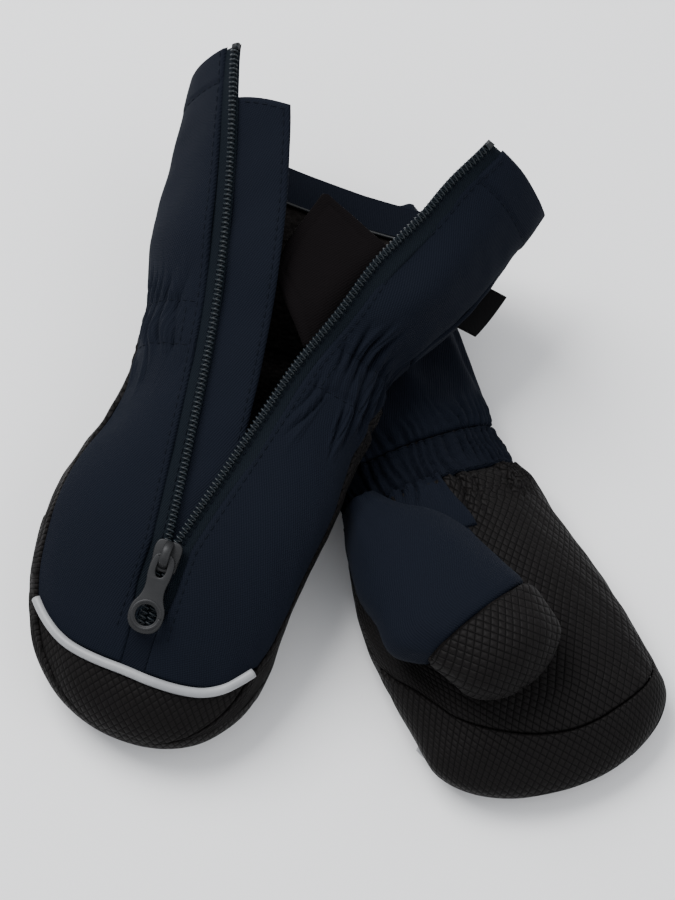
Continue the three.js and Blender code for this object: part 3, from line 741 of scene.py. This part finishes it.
def back_detail(hand, k):
    """The relief of one side of the back: soft swelling, gathers, the elastic's rows and the hem."""
    spec = hand.spec
    first, last = spec["rows"]
    strength = 1.7 if (hand.name, k) == ("left", "outer") else 0.95
    band = 0.6 if strength > 1 else 0.3
    seed = {"inner": 3, "outer": 8}[k]

    def detail(u, t):
        a = (t - hand.back) * ARC
        hand_part = ramp(u, 24, 45) * (1 - ramp(u, first - 14, first))
        rise = waves(u, a, seed, 46) * 0.5 * hand_part + waves(u, a, seed + 1, 17) * 0.13
        from_zip = np.clip(np.abs(t - hand.edge(k, 8)(u)) * ARC / 9, 0, 1)
        pucker = gathers(hand, u, t, strength, 6.6, seed + 2) + band * sewn_band(u, t, first, last)
        rise = rise + pucker * from_zip + hand_part * 0.9 * waves(u, a, seed + 9, 70)
        cuff = ramp(u, last + 4, last + 26)
        rise = rise + cuff * (waves(u * 0.45, a, seed + 4, 30) * 0.85)
        hem = spec["hem"] - HEM
        return rise + 0.25 * ramp(u, hem, hem + 2) - 0.25 * bump(u, hem, 1.8)
    return detail


def palm_detail(hand):
    """The relief of the palm side."""
    spec = hand.spec
    first, last = spec["rows"]
    strength = 0.8 if hand.opens else 1.5

    def detail(u, t):
        a = (t - hand.back - 180) * ARC
        hand_part = 1 - ramp(u, first - 10, first)
        rise = waves(u, a, 21, 40) * 0.45 * hand_part + waves(u, a, 22, 16) * 0.12
        rise = rise + gathers(hand, u, t, strength, 5.4, 24) + sewn_band(u, t, first, last)
        cuff = ramp(u, last + 6, last + 30)
        rise = rise + cuff * (waves(u * 0.22, a, 27, 24) * 1.1 + waves(u * 0.6, a, 28, 40) * 0.4)
        hem = spec["hem"] - HEM
        return rise + 0.4 * ramp(u, hem, hem + 1.2) - 0.35 * bump(u, hem, 1.6)
    return detail


def bend_of(hand, k):
    """The two bodies and two end points of a blend for one side of the open cuff and its flap, or None on a
    closed cuff.
    """
    if not hand.opens:
        return None
    start, end = (hand.place(np.array([0.0, u, 50.0])) for u in (124.0, 198.0))
    return hand.body, f"{hand.name}_flap_{k}", tuple(start), tuple(end)


def node(hand, *names):
    """The solids' names on this mitten."""
    return [f"{hand.name}_{n}" for n in names]


# ---------------------------------------------------------------- shell pieces
def make_finger_end(hand):
    """The grip wrap round the finger end, the cap over it and the piping along the cap."""
    skin, back = hand.skin, hand.back
    shares = np.linspace(0, 1, 81) ** 1.8
    detail = lambda u, t: waves(u, (t - back) * ARC, 31, 30) * 0.3 * ramp(u, 3, 14)
    wrap = cloth_panel(f"{hand.name}_fingertip_wrap", skin, 0.02, lambda t: hand.rim(t) - 0.02, back,
                       back + 360, detail, rounded="" if hand.opens else "U", edge=1.2, cols=200, shares=shares,
                       mapped=hand.flat_map)
    dress(wrap, "grip", hand.body, stands_for=node(hand, "fingertip_wrap"))
    cap = cloth_panel(f"{hand.name}_fingertip_cap", skin, lambda t: hand.rim(t) + 0.02,
                      lambda t: hand.piping_at(t) - 1.3, back - PIPED_HALF, back + PIPED_HALF, detail,
                      rounded="UtT", edge=1.0, rows=50, cols=130, mapped=hand.flat_map)
    dress(cap, "grip", hand.body, stands_for=node(hand, "fingertip_cap"))
    t = np.linspace(back - PIPED_HALF - 1, back + PIPED_HALF + 1, 110)
    path, _ = face_of(skin, hand.piping_at(t), t, lambda u, t: 0.15)
    cord = join_parts(f"{hand.name}_reflective_piping", [tube(path, PIPING_RADIUS * MM, 14)])
    dress(cord, "piping", hand.body, stands_for=node(hand, "reflective_piping"))


def make_back(hand, k):
    """One side of the back, from the piping to the cuff's hem where the cuff opens, or to the wrist."""
    spec, opens = hand.spec, hand.opens
    start, end = spec["chain_start"], (spec["hem"] if opens else spec["wrist"][0])
    inside = lambda u: lerp(4.0, PANEL_EDGE, ramp(np.asarray(u, float), start - 4, start + 14))
    panel = cloth_panel(f"{hand.name}_back_{k}", hand.skin, lambda t: hand.piping_at(t) + 1.2, end - 0.1,
                        hand.edge(k, inside), seam_angle(hand, k), back_detail(hand, k), thick=1.3, edge=1.3,
                        rounded="uUtT", rows=300 if opens else 130, cols=110)
    nodes = node(hand, f"back_panel_{k}") + (node(hand, f"cuff_flap_{k}") if opens else [])
    dress(panel, "shell", hand.body, bend_of(hand, k), nodes)


def round_palm(hand, mm=None):
    """The degrees where a piece round the palm starts and ends: at the side seams, or mm from the zip."""
    start, end = ("inner", "outer") if hand.opens else ("outer", "inner")
    if mm is None:
        return seam_angle(hand, start), seam_angle(hand, end, 1)
    return hand.edge(start, mm), (lambda u: hand.edge(end, mm)(u) + 360)


def make_palm(hand):
    """The grip palm, the band over the wrist elastic, and the cuff's palm side or the whole closed cuff."""
    skin, spec, detail = hand.skin, hand.spec, palm_detail(hand)
    first, last = spec["wrist"]
    span = round_palm(hand)
    panel = cloth_panel(f"{hand.name}_palm", skin, lambda t: hand.rim(t) + 0.1, first - 0.1, *span, detail,
                        rows=130, cols=220)
    dress(panel, "grip", hand.body, stands_for=node(hand, "palm_panel"))
    if not hand.opens:
        span = round_palm(hand, PANEL_EDGE)
    band = cloth_panel(f"{hand.name}_wrist_band", skin, first + 0.1, last - 0.1, *span, detail, rows=36,
                       cols=260)
    # the band gets the shell cloth painted darker as shade
    dress(band, "shell_dark", hand.body, stands_for=node(hand, "wrist_elastic"))
    cuff = cloth_panel(f"{hand.name}_cuff", skin, last + 0.1, spec["hem"], *span, detail, rows=90, cols=240)
    dress(cuff, "shell", hand.body, stands_for=node(hand, "cuff_palm" if hand.opens else "cuff"))


def make_inside(hand):
    """Fleece against the hand and in the cuff, and the facing inside the open cuff's hem."""
    skin, name, hem = hand.skin, hand.name, hand.spec["hem"]
    first, last = hand.spec["wrist"]
    depth = lambda u: lerp(5.6, 2.0, ramp(np.asarray(u, float), first, first + 10))
    piece, end, rows, rounded = "lining", hem - 3, 90, "U"
    if hand.opens:
        piece, end, rows, rounded = "lining_hand", last + 2, 70, ""
    lining = cloth_panel(f"{name}_{piece}", skin, 12, end, *round_palm(hand, 10.5), None, thick=1.6,
                         inset=depth, rows=rows, cols=120, rounded=rounded)
    dress(lining, "fleece", hand.body, stands_for=node(hand, "fleece_lining", "hand_padding"))
    if not hand.opens:
        return
    palm = cloth_panel(f"{name}_lining_cuff", skin, last - 4, hem - 2, *round_palm(hand), None, thick=1.8,
                       inset=2.0, rows=60, cols=100, rounded="U")
    dress(palm, "fleece", hand.body)
    for k in ("inner", "outer"):
        flap = cloth_panel(f"{name}_lining_flap_{k}", skin, last - 6, hem - 2, hand.edge(k, 8.5),
                           seam_angle(hand, k), None, thick=1.8, inset=2.2, rows=70, cols=44, rounded="Ut")
        dress(flap, "fleece", bend=bend_of(hand, k), stands_for=node(hand, f"flap_fleece_{k}"))
    facing = cloth_panel(f"{name}_cuff_facing", skin, hem - 14, hem - 0.4, *round_palm(hand),
                         lambda u, t: -0.25 * waves(u, t * ARC, 61, 26), thick=1.0, inset=4.1, rows=24,
                         cols=120)
    # the facing gets the shell cloth painted darker as shade
    dress(facing, "shell_dark", hand.body)
    start, end = (float(angle(205)) for angle in round_palm(hand))
    line, _ = face_of(skin, np.full(90, hem - 14.6), np.linspace(start + 2, end - 2, 90), None, 4.9)
    edge_line = join_parts(f"{name}_membrane_edge", [tube(line, 0.6 * MM, 8)])
    dress(edge_line, "film", hand.body)


# ---------------------------------------------------------------- the zip
def strip_panel(hand, name, u0, u1, k, mm0, mm1, inset, thick, detail=None, rows=160, cols=12, edge=0.5):
    """A panel that follows one side of the zip, from mm0 to mm1 off the chain's edge."""
    return cloth_panel(name, hand.skin, u0, u1, hand.edge(k, mm0), hand.edge(k, mm1), detail, thick, inset,
                       edge, rows=rows, cols=cols)


def sew_row(name, hand, points, bend):
    """An object of one row of stitches."""
    return dress(join_parts(name, stitch_line(*points)), "thread", hand.body, bend)


def coil_mesh(hand, name, k, u0, u1):
    """A wound nylon coil: a flattened helix along the chain's edge."""
    u = np.linspace(u0, u1, 500)
    path, out = face_of(hand.skin, u, hand.edge(k, 1.3)(u), lambda u, t: 0.05)
    s = run_of(path)
    q = np.arange(0, s[-1], TOOTH_PITCH * MM / 12)
    p, n = along_path(q, s, path), along_path(q, s, out)
    ahead = np.gradient(p, axis=0)
    ahead /= np.linalg.norm(ahead, axis=1, keepdims=True)
    side = np.cross(ahead, n)
    phase = 2 * math.pi * q / (TOOTH_PITCH * MM)
    wide = COIL_HALF_WIDTH * np.sign(np.cos(phase)) * np.abs(np.cos(phase)) ** 0.6
    helix = p + side * (wide * MM)[:, None] + n * (COIL_HALF_HEIGHT * np.sin(phase) * MM)[:, None]
    return join_parts(name, [tube(helix, COIL_WIRE * MM, 6, up=(0.1, 0.2, 1))])


def make_zip(hand):
    """Both sides of the zip, and the placket below it."""
    skin, spec, name, opens = hand.skin, hand.spec, hand.name, hand.opens
    u0, u1 = spec["chain_start"], spec["hem"] - 2
    u = np.linspace(u0, u1, 300)
    for k in ("inner", "outer"):
        bend = bend_of(hand, k)
        tape_nodes, coil_nodes = (
            node(hand, *([f"{part}_{k}_hand", f"{part}_{k}_cuff"] if opens else [f"{part}_{k}"]))
            for part in ("zip_tape", "zip_coil"))
        tape = strip_panel(hand, f"{name}_zip_tape_{k}", u0, u1 + (1.7 if opens else 0), k, 0.4, TAPE_REACH,
                           TAPE_DEPTH, 0.55)
        dress(tape, "tape", hand.body, bend, tape_nodes)
        coil = coil_mesh(hand, f"{name}_zip_coil_{k}", k, u0, u1)
        dress(coil, "coil", hand.body, bend, coil_nodes)
        sewn = face_of(skin, u, hand.edge(k, COIL_ROW)(u), None, TAPE_DEPTH - 0.05)
        sew_row(f"{name}_coil_stitches_{k}", hand, sewn, bend)
        if opens:
            film = strip_panel(hand, f"{name}_zip_end_{k}", u1 - 1.2, u1 + 1.2, k, 0.0, 2.6, -0.6, 1.7, rows=10,
                               cols=10, edge=0.8)
            dress(film, "film", hand.body, bend)
    placket = strip_panel(hand, f"{name}_zip_placket", spec["piping"] + 0.9, u0 + 0.5, "inner", -4.6, 4.6, 0.5,
                          0.9, rows=24, cols=16, edge=0.6)
    # the placket gets the shell cloth painted darker as shade
    dress(placket, "shell_dark", hand.body, stands_for=node(hand, "zip_placket"))
    if opens:
        make_underlap(hand, u0)


def make_underlap(hand, start):
    """The strip of shell behind the inner side of the zip, hemmed along its free edge and its top."""
    name, bend, depth = hand.name, bend_of(hand, "inner"), 2.3
    reach = curve([(30, 6), (60, 8), (80, 15), (110, 16.5), (220, 18.5)])
    wrinkle = lambda u, t: waves(u, t * ARC, 71, 26) * 0.3 * ramp(u, 60, 90)
    flap = strip_panel(hand, f"{name}_zip_underlap", start, 202, "inner", lambda u: -reach(u),
                       TAPE_REACH - 0.4, depth, 0.9, wrinkle, rows=180, cols=26, edge=0.6)
    dress(flap, "shell", bend=bend, stands_for=node(hand, "zip_underlap_hand", "zip_underlap_cuff"))
    u = np.linspace(70, 200.5, 300)
    sewn = face_of(hand.skin, u, hand.edge("inner", lambda u: 2.2 - reach(u))(u), wrinkle, depth - 0.05)
    sew_row(f"{name}_underlap_stitches", hand, sewn, bend)
    across = lerp(hand.edge("inner", -1.0)(200), hand.edge("inner", -16.5)(200), np.linspace(0, 1, 40))
    sewn = face_of(hand.skin, np.full(40, 200.3), across, wrinkle, depth - 0.05)
    sew_row(f"{name}_underlap_top_stitches", hand, sewn, bend)


def chain_frame(hand, u, lift):
    """Origin and axes on the closed chain: x across, y towards the cuff, z out of the skin."""
    angle = hand.edge("inner", 0)
    origin, _ = face_of(hand.skin, np.array([u]), angle(np.array([u])))
    before = hand.skin.at(np.array([u - 11.0]), angle(np.array([u - 11.0])))[0]
    along = origin[0] - before
    along /= np.linalg.norm(along)
    t = float(angle(u))
    across = hand.skin.at(u, t - 4) - hand.skin.at(u, t + 4)
    out = np.cross(across, along)
    out /= np.linalg.norm(out)
    across = np.cross(along, out)
    return origin[0] + out * lift * MM, np.stack([across, along, out])


def set_on(piece, hand, u, lift):
    """Moves a piece from its own axes onto the closed chain."""
    origin, axes = chain_frame(hand, u, lift)
    count = len(piece.data.vertices)
    co = np.zeros(count * 3)
    piece.data.vertices.foreach_get("co", co)
    piece.data.vertices.foreach_set("co", (co.reshape(-1, 3) @ axes + origin).ravel())
    piece.data.update()


def plate_mesh(name, outline, holes, thick, bevel):
    """A flat plate with rounded edges and holes, from its outline in mm."""
    data = bpy.data.curves.new(name, "CURVE")
    data.dimensions = "2D"
    data.fill_mode = "BOTH"
    data.extrude = (thick / 2 - bevel) * MM
    data.bevel_depth = bevel * MM
    data.bevel_resolution = 3
    data.offset = -bevel * MM
    for loop in (outline, *holes):
        spline = data.splines.new("POLY")
        spline.points.add(len(loop) - 1)
        for point, (x, y) in zip(spline.points, loop):
            point.co = (x * MM, y * MM, 0, 1)
        spline.use_cyclic_u = True
    shape = bpy.data.objects.new(name + "_outline", data)
    bpy.context.scene.collection.objects.link(shape)
    bpy.context.view_layer.update()
    mesh = bpy.data.meshes.new_from_object(shape.evaluated_get(bpy.context.evaluated_depsgraph_get()))
    bpy.data.objects.remove(shape)
    work = bmesh.new()
    work.from_mesh(mesh)
    bmesh.ops.remove_doubles(work, verts=work.verts, dist=1e-6)
    verts = np.array([v.co[:] for v in work.verts])
    faces = [tuple(v.index for v in f.verts) for f in work.faces]
    work.free()
    return verts, faces


def oval(cx, cy, rx, ry):
    """A closed oval in mm."""
    a = np.linspace(0, 2 * math.pi, 40, endpoint=False)
    return list(zip(cx + rx * np.cos(a), cy + ry * np.sin(a)))


def smooth_loop(points):
    """A closed outline with its corners cut three times over."""
    p = np.array(points, float)
    for _ in range(3):
        n = np.roll(p, -1, 0)
        p = np.stack([0.75 * p + 0.25 * n, 0.25 * p + 0.75 * n], 1).reshape(-1, 2)
    return [tuple(q) for q in p]


def make_slider(hand):
    """The slider: a shield-shaped top plate, two side rails and the arch that holds the pull."""
    shield = smooth_loop([(-3.9, 5.2), (-1.3, 5.6), (0, 4.9), (1.3, 5.6), (3.9, 5.2), (4.7, 2.6), (4.2, -1.5),
                          (3.4, -4.9), (-3.4, -4.9), (-4.2, -1.5), (-4.7, 2.6)])
    plate, faces = plate_mesh("slider_top", shield, [], 1.3, 0.5)
    parts = [(plate + np.array([0, 0, 0.5 * MM]), faces)]
    y = np.linspace(-4.4, 4.4, 14)
    for x in (-1, 1):
        side = np.stack([x * (3.85 - 0.05 * np.abs(y)), y, -0.35 - 0.15 * np.abs(y) / 5], -1) * MM
        parts.append(tube(side, 0.6 * MM, 10, flat=1.25))
    y = np.linspace(-1, 1, 30)
    along, up = 0.6 + 4.2 * np.sign(y) * np.abs(y) ** 0.85, 0.7 + 2.7 * (1 - np.abs(y) ** 2.6)
    parts.append(tube(np.stack([0 * y, along, up], -1) * MM, 1.5 * MM, 16, flat=0.42, up=(0, 0.001, 1)))
    piece = join_parts(f"{hand.name}_slider_body", parts)
    set_on(piece, hand, hand.spec["slider"], SLIDER_LIFT)
    dress(piece, "metal", f"{hand.name}_slider", stands_for=node(hand, "zip_slider"))


def make_pull(hand):
    """The pull: a slotted shank, a narrow neck and an oval ring."""
    half = [(2.6, 1.0), (3.9, -1.5), (4.0, -6.0), (3.2, -10.0), (3.7, -13.6), (5.9, -17.2), (5.6, -22.6),
            (2.6, -25.3)]
    outline = smooth_loop([(-2.6, 1.0), *half, *((-x, y) for x, y in reversed(half[1:]))])
    eye = smooth_loop([(-1.7, -6.8), (1.7, -6.8), (1.7, -1.0), (-1.7, -1.0)])
    ring = -19.4
    parts = [plate_mesh("pull_plate", outline, [oval(0, ring, 3.5, 3.4), eye], 1.4, 0.45)]
    a = np.linspace(0, 2 * math.pi, 60)
    path = np.stack([4.6 * np.cos(a), ring + 4.5 * np.sin(a), 0 * a + 0.42], -1) * MM
    parts.append(tube(path, 0.75 * MM, 10, flat=0.7, up=(0, 0, 1)))
    hinge = np.stack([np.linspace(-2.2, 2.2, 12), np.full(12, 0.2), np.full(12, 0.1)], -1) * MM
    parts.append(tube(hinge, 0.85 * MM, 12))
    piece = join_parts(f"{hand.name}_pull_ring", parts)
    set_on(piece, hand, hand.spec["slider"], SLIDER_LIFT + 1.85)
    dress(piece, "metal", f"{hand.name}_pull", stands_for=node(hand, "zip_pull"))


# ---------------------------------------------------------------- topstitching
def make_stitches(hand):
    """Rows beside the zip, along the elastic and along the hem."""
    spec, skin, opens = hand.spec, hand.skin, hand.opens
    first, last = spec["rows"]
    round_rows = (first + 0.8, last - 0.8, spec["hem"] - HEM)
    for k in ("inner", "outer"):
        detail, parts = back_detail(hand, k), []

        def sew(u, t):
            u, t = np.broadcast_arrays(np.asarray(u, float), np.asarray(t, float))
            parts.extend(stitch_line(*face_of(skin, u, t, detail)))

        end = spec["hem"] - 1.2 if opens else first - 1
        u = np.linspace(spec["chain_start"] - 2, end, 260)
        sew(u, hand.edge(k, EDGE_ROW)(u))
        if opens:
            for at in round_rows:
                t = lerp(hand.edge(k, EDGE_ROW + 0.2)(at), seam_angle(hand, k)(at), np.linspace(0, 1, 120))
                sew(at, t)
            u = np.linspace(first + 1, last - 1, 30)
            sew(u, hand.edge(k, BOX_ROW)(u))
        piece = join_parts(f"{hand.name}_stitches_{k}", parts)
        dress(piece, "thread", hand.body, bend_of(hand, k))
    detail, parts = palm_detail(hand), []
    t = np.linspace(hand.back + (90 if opens else 84), hand.back + 276, 260)
    for at in round_rows:
        parts.extend(stitch_line(*face_of(skin, np.full(260, at), t, detail)))
    dress(join_parts(f"{hand.name}_palm_stitches", parts), "thread", hand.body)


# ---------------------------------------------------------------- thumbs
def thumb_shape(hand):
    """The thumb's length, and its section along it.

    The right one is flat, folded over the palm and let into its side. The left one lies under the palm and
    tapers up into it.
    """
    spec = hand.spec["thumb"]
    length = math.dist(spec["tip"], spec["base"])
    if not hand.opens:
        low = [(0, 31.5), (26, 30.5), (45, 21), (60, 15), (88, 12)]
        high = [(0, 46), (12, 49.5), (30, 50), (50, 47), (66, 42), (78, 35.5), (88, 29)]
        x = np.array([0, 12, 26, 30, 45, 50, 60, 66, 78, 88])
        lows, highs = curve(low)(x), curve(high)(x)
        return length, {
            "back": 90, "nose": 10, "bottom": low, "top": high,
            "waist": list(zip(x, lerp(lows, highs, 0.42))),
            "left": [(0, -19), (10, -20.5), (17, -22.5), (22, -24.5), (32, -31), (45, -29.5), (61, -27),
                     (73, -22), (88, -15)],
            "right": [(0, 13), (5, 15.5), (9, 17.5), (17, 18.5), (24, 18.5), (30, 16.5), (47, 15.5), (58, 15),
                      (67, 11), (76, 4), (88, -3)],
        }
    width, (first, last), taper = spec["width"], spec["high"], length - 22
    return length, {
        "back": 90, "nose": 17,
        "bottom": [(0, -0.5), (taper, -0.5), (length - 8, 7), (length, 16.6)],
        "waist": [(0, 7), (taper, 8), (length - 8, 14), (length, 18.4)],
        "top": [(0, first), (taper, last), (length - 10, 19.8), (length, 20.4)],
        "left": [(0, -width + 1.5), (25, -width), (length, -width - 1)],
        "right": [(0, width - 1.5), (25, width), (length, width + 1)],
    }


def make_thumb(hand):
    """The thumb's grip tip, shell and fleece, and the shell let into the right one's side."""
    spec = hand.spec["thumb"]
    tip, base = np.array(spec["tip"], float), np.array(spec["base"], float)
    axis = (base - tip)[::-1] / math.dist(tip, base)  # as (v, u)
    lifted = not hand.opens
    length, shape = thumb_shape(hand)

    def place(p):
        x, y, z = np.moveaxis(p, -1, 0)
        v, u = tip[1] + axis[0] * y + axis[1] * x, tip[0] + axis[1] * y - axis[0] * x
        return hand.place(np.stack([v, u, z], -1))

    skin = Skin(shape, place)
    seam = lambda t: 25.5 + 3.0 * np.cos(np.radians(t)) if lifted else np.full_like(t, length * 0.42)

    def crease(u, t):
        a = t * 0.3
        rise = waves(u, a, 41, 30) * 0.55 * ramp(u, 5, 20) + waves(u, a, 42, 13) * 0.16
        return rise - 0.55 * bump(u, seam(t), 3.0) - (0.9 * bump(u, 62, 9) * bump(t, 60, 50) if lifted else 0)

    def pressed(u, t):
        x, y, z = np.moveaxis(skin.local(u, t), -1, 0)
        return np.stack([x, (0.8 * y + 0.55 * z) / 0.9], -1)

    shares = np.linspace(0, 1, 60) ** 1.6
    cap = cloth_panel(f"{hand.name}_thumb_tip", skin, 0.02, lambda t: seam(t) - 0.1, 0, 360, crease, thick=1.0,
                      rounded="U", cols=120, shares=shares, mapped=pressed)
    body = f"{hand.name}_thumb"
    dress(cap, "grip", body, stands_for=node(hand, "thumb_tip"))
    shell = cloth_panel(f"{hand.name}_thumb_shell", skin, lambda t: seam(t) + 0.1, 87 if lifted else length, 0,
                        360, crease, thick=1.0, rounded="uU", rows=110, cols=120)
    bend = None
    if lifted:
        ends = [place(np.array([-6.0, y, 30.0])) for y in (76, 44)]
        bend = (hand.body, body, *map(tuple, ends))
    dress(shell, "shell", body, bend, node(hand, "thumb_shell"))
    lining = cloth_panel(f"{hand.name}_thumb_lining", skin, 3, 60 if lifted else length - 20, 0, 360, None,
                         thick=1.4, inset=2.0, rounded="U", rows=40, cols=60)
    dress(lining, "fleece", body, bend, node(hand, "thumb_lining"))
    if lifted:
        relief = palm_detail(hand)
        near = lambda u: 360 - hand.skin.angle_at(u, lerp(8.5, 4.5, ramp(u, 90, 110)))
        far = lambda u: 360 - hand.skin.angle_at(u, -24)
        gusset = cloth_panel("right_thumb_gusset", hand.skin, 89, hand.spec["wrist"][0] + 1, near, far,
                             lambda u, t: relief(u, t) + 0.9, thick=1.9, rounded="tu", rows=60, cols=80)
        dress(gusset, "shell", hand.body)


# ---------------------------------------------------------------- the left mitten's own trim
def make_tongue(hand):
    """A fleece band sewn behind the outer side of the zip, lying across the opening."""
    reach, wide, corner = 31.0, 40.0, 4
    g, f = np.meshgrid(np.linspace(0, 1, 61), np.linspace(0, 1, 49), indexing="ij")
    turned = 1 - np.sqrt(1 - np.clip(1 - (1 - g) * wide / corner, 0, 1) ** 2)
    far = reach - corner * turned - 3 * bump(g, 0, 0.3)
    out = lerp(-6.5, far, f)
    u = 133 + wide * g + (0.72 - 0.34 * g ** 2) * np.maximum(out, 0)
    drop = 4.4 + 5.5 * ramp(out, 0, reach) - 0.6 * waves(u, out, 81, 26)

    def layer(extra):
        t = hand.skin.angle_at(u, hand.chain["outer"](u))
        t = t - hand.sign["outer"] * out / hand.skin.arc(u, t)
        return hand.skin.at(u, t, drop + extra)

    rim = np.minimum(np.minimum(g, 1 - g) * wide, (1 - f) * reach)
    fall = 1.0 * (1 - np.sqrt(1 - np.clip(1 - rim / 1.0, 0, 1) ** 2)) + 0.35 * bump(rim, 4.2, 1.2)
    piece = grid_sheet("left_fleece_tongue", layer(fall), layer(2.1 - 0.5 * fall), np.stack([out, u], -1))
    dress(piece, "brushed", bend=bend_of(hand, "outer"), stands_for=node(hand, "fleece_tongue"))


def make_label(hand):
    """A folded ribbon caught in the outer side seam."""
    u = np.linspace(164.5, 186, 16)[:, None]
    out = np.linspace(-2.5, 6.2, 12)[None, :]
    u, out = np.broadcast_arrays(u, out)
    p = hand.skin.at(u, np.full(u.shape, -14.0) - out * 0.3, -out)
    low = p - np.array([0, 0, 0.6]) * MM
    piece = grid_sheet("left_side_label", p, low, np.stack([out, u], -1))
    dress(piece, "label", bend=bend_of(hand, "outer"), stands_for=node(hand, "side_label"))


# ---------------------------------------------------------------- the table, the lights and the camera
def make_floor():
    """A plain pale table."""
    data = bpy.data.meshes.new("floor")
    data.from_pydata([(-3, -3, 0), (3, -3, 0), (3, 3, 0), (-3, 3, 0)], [], [(0, 1, 2, 3)])
    floor = bpy.data.objects.new("floor", data)
    bpy.context.scene.collection.objects.link(floor)
    m = bpy.data.materials.new("Pale floor")
    m.use_nodes = True
    shader = m.node_tree.nodes["Principled BSDF"]
    shader.inputs["Base Color"].default_value = (0.82, 0.82, 0.822, 1)
    shader.inputs["Roughness"].default_value = 0.9
    data.materials.append(m)


def make_light(name, place, size, power):
    """A square soft light that points at the middle of the table."""
    data = bpy.data.lights.new(name, "AREA")
    data.shape = "RECTANGLE"
    data.size, data.size_y = size, size
    data.energy = power
    lamp = bpy.data.objects.new(name, data)
    lamp.location = place
    lamp.rotation_euler = (-Vector(place)).to_track_quat("-Z", "Y").to_euler()
    bpy.context.scene.collection.objects.link(lamp)


def make_studio():
    """An even bright room, a soft key from the upper left and a weak fill."""
    make_floor()
    world = bpy.data.worlds.new("studio")
    bpy.context.scene.world = world
    world.use_nodes = True
    world.node_tree.nodes["Background"].inputs[0].default_value = (0.86, 0.88, 0.92, 1)
    world.node_tree.nodes["Background"].inputs[1].default_value = 1.02
    make_light("key", (-0.62, 0.62, 1.3), 1.0, 36)
    make_light("fill", (0.9, -0.5, 1.0), 1.2, 6)


def make_camera():
    """One metre off, 66 degrees above the table, square to the cuffs."""
    data = bpy.data.cameras.new("camera")
    data.sensor_fit = "VERTICAL"
    data.sensor_height = 36
    data.sensor_width = 36
    data.lens = 120
    camera = bpy.data.objects.new("camera", data)
    rise = math.radians(66)
    target = Vector((SHIFT[0], SHIFT[1], 20 + SHIFT[2])) * MM
    back = Vector((0, -math.cos(rise), math.sin(rise)))
    camera.location = target + back * 1.0
    camera.rotation_euler = (-back).to_track_quat("-Z", "Y").to_euler()
    bpy.context.scene.collection.objects.link(camera)
    bpy.context.scene.camera = camera


make_studio()
make_camera()
for layout in (LEFT, RIGHT):
    mitten = Hand(layout)
    make_finger_end(mitten)
    for side in ("inner", "outer"):
        make_back(mitten, side)
    make_palm(mitten)
    make_inside(mitten)
    make_zip(mitten)
    make_slider(mitten)
    make_pull(mitten)
    make_stitches(mitten)
    make_thumb(mitten)
    if mitten.opens:
        make_tongue(mitten)
        make_label(mitten)
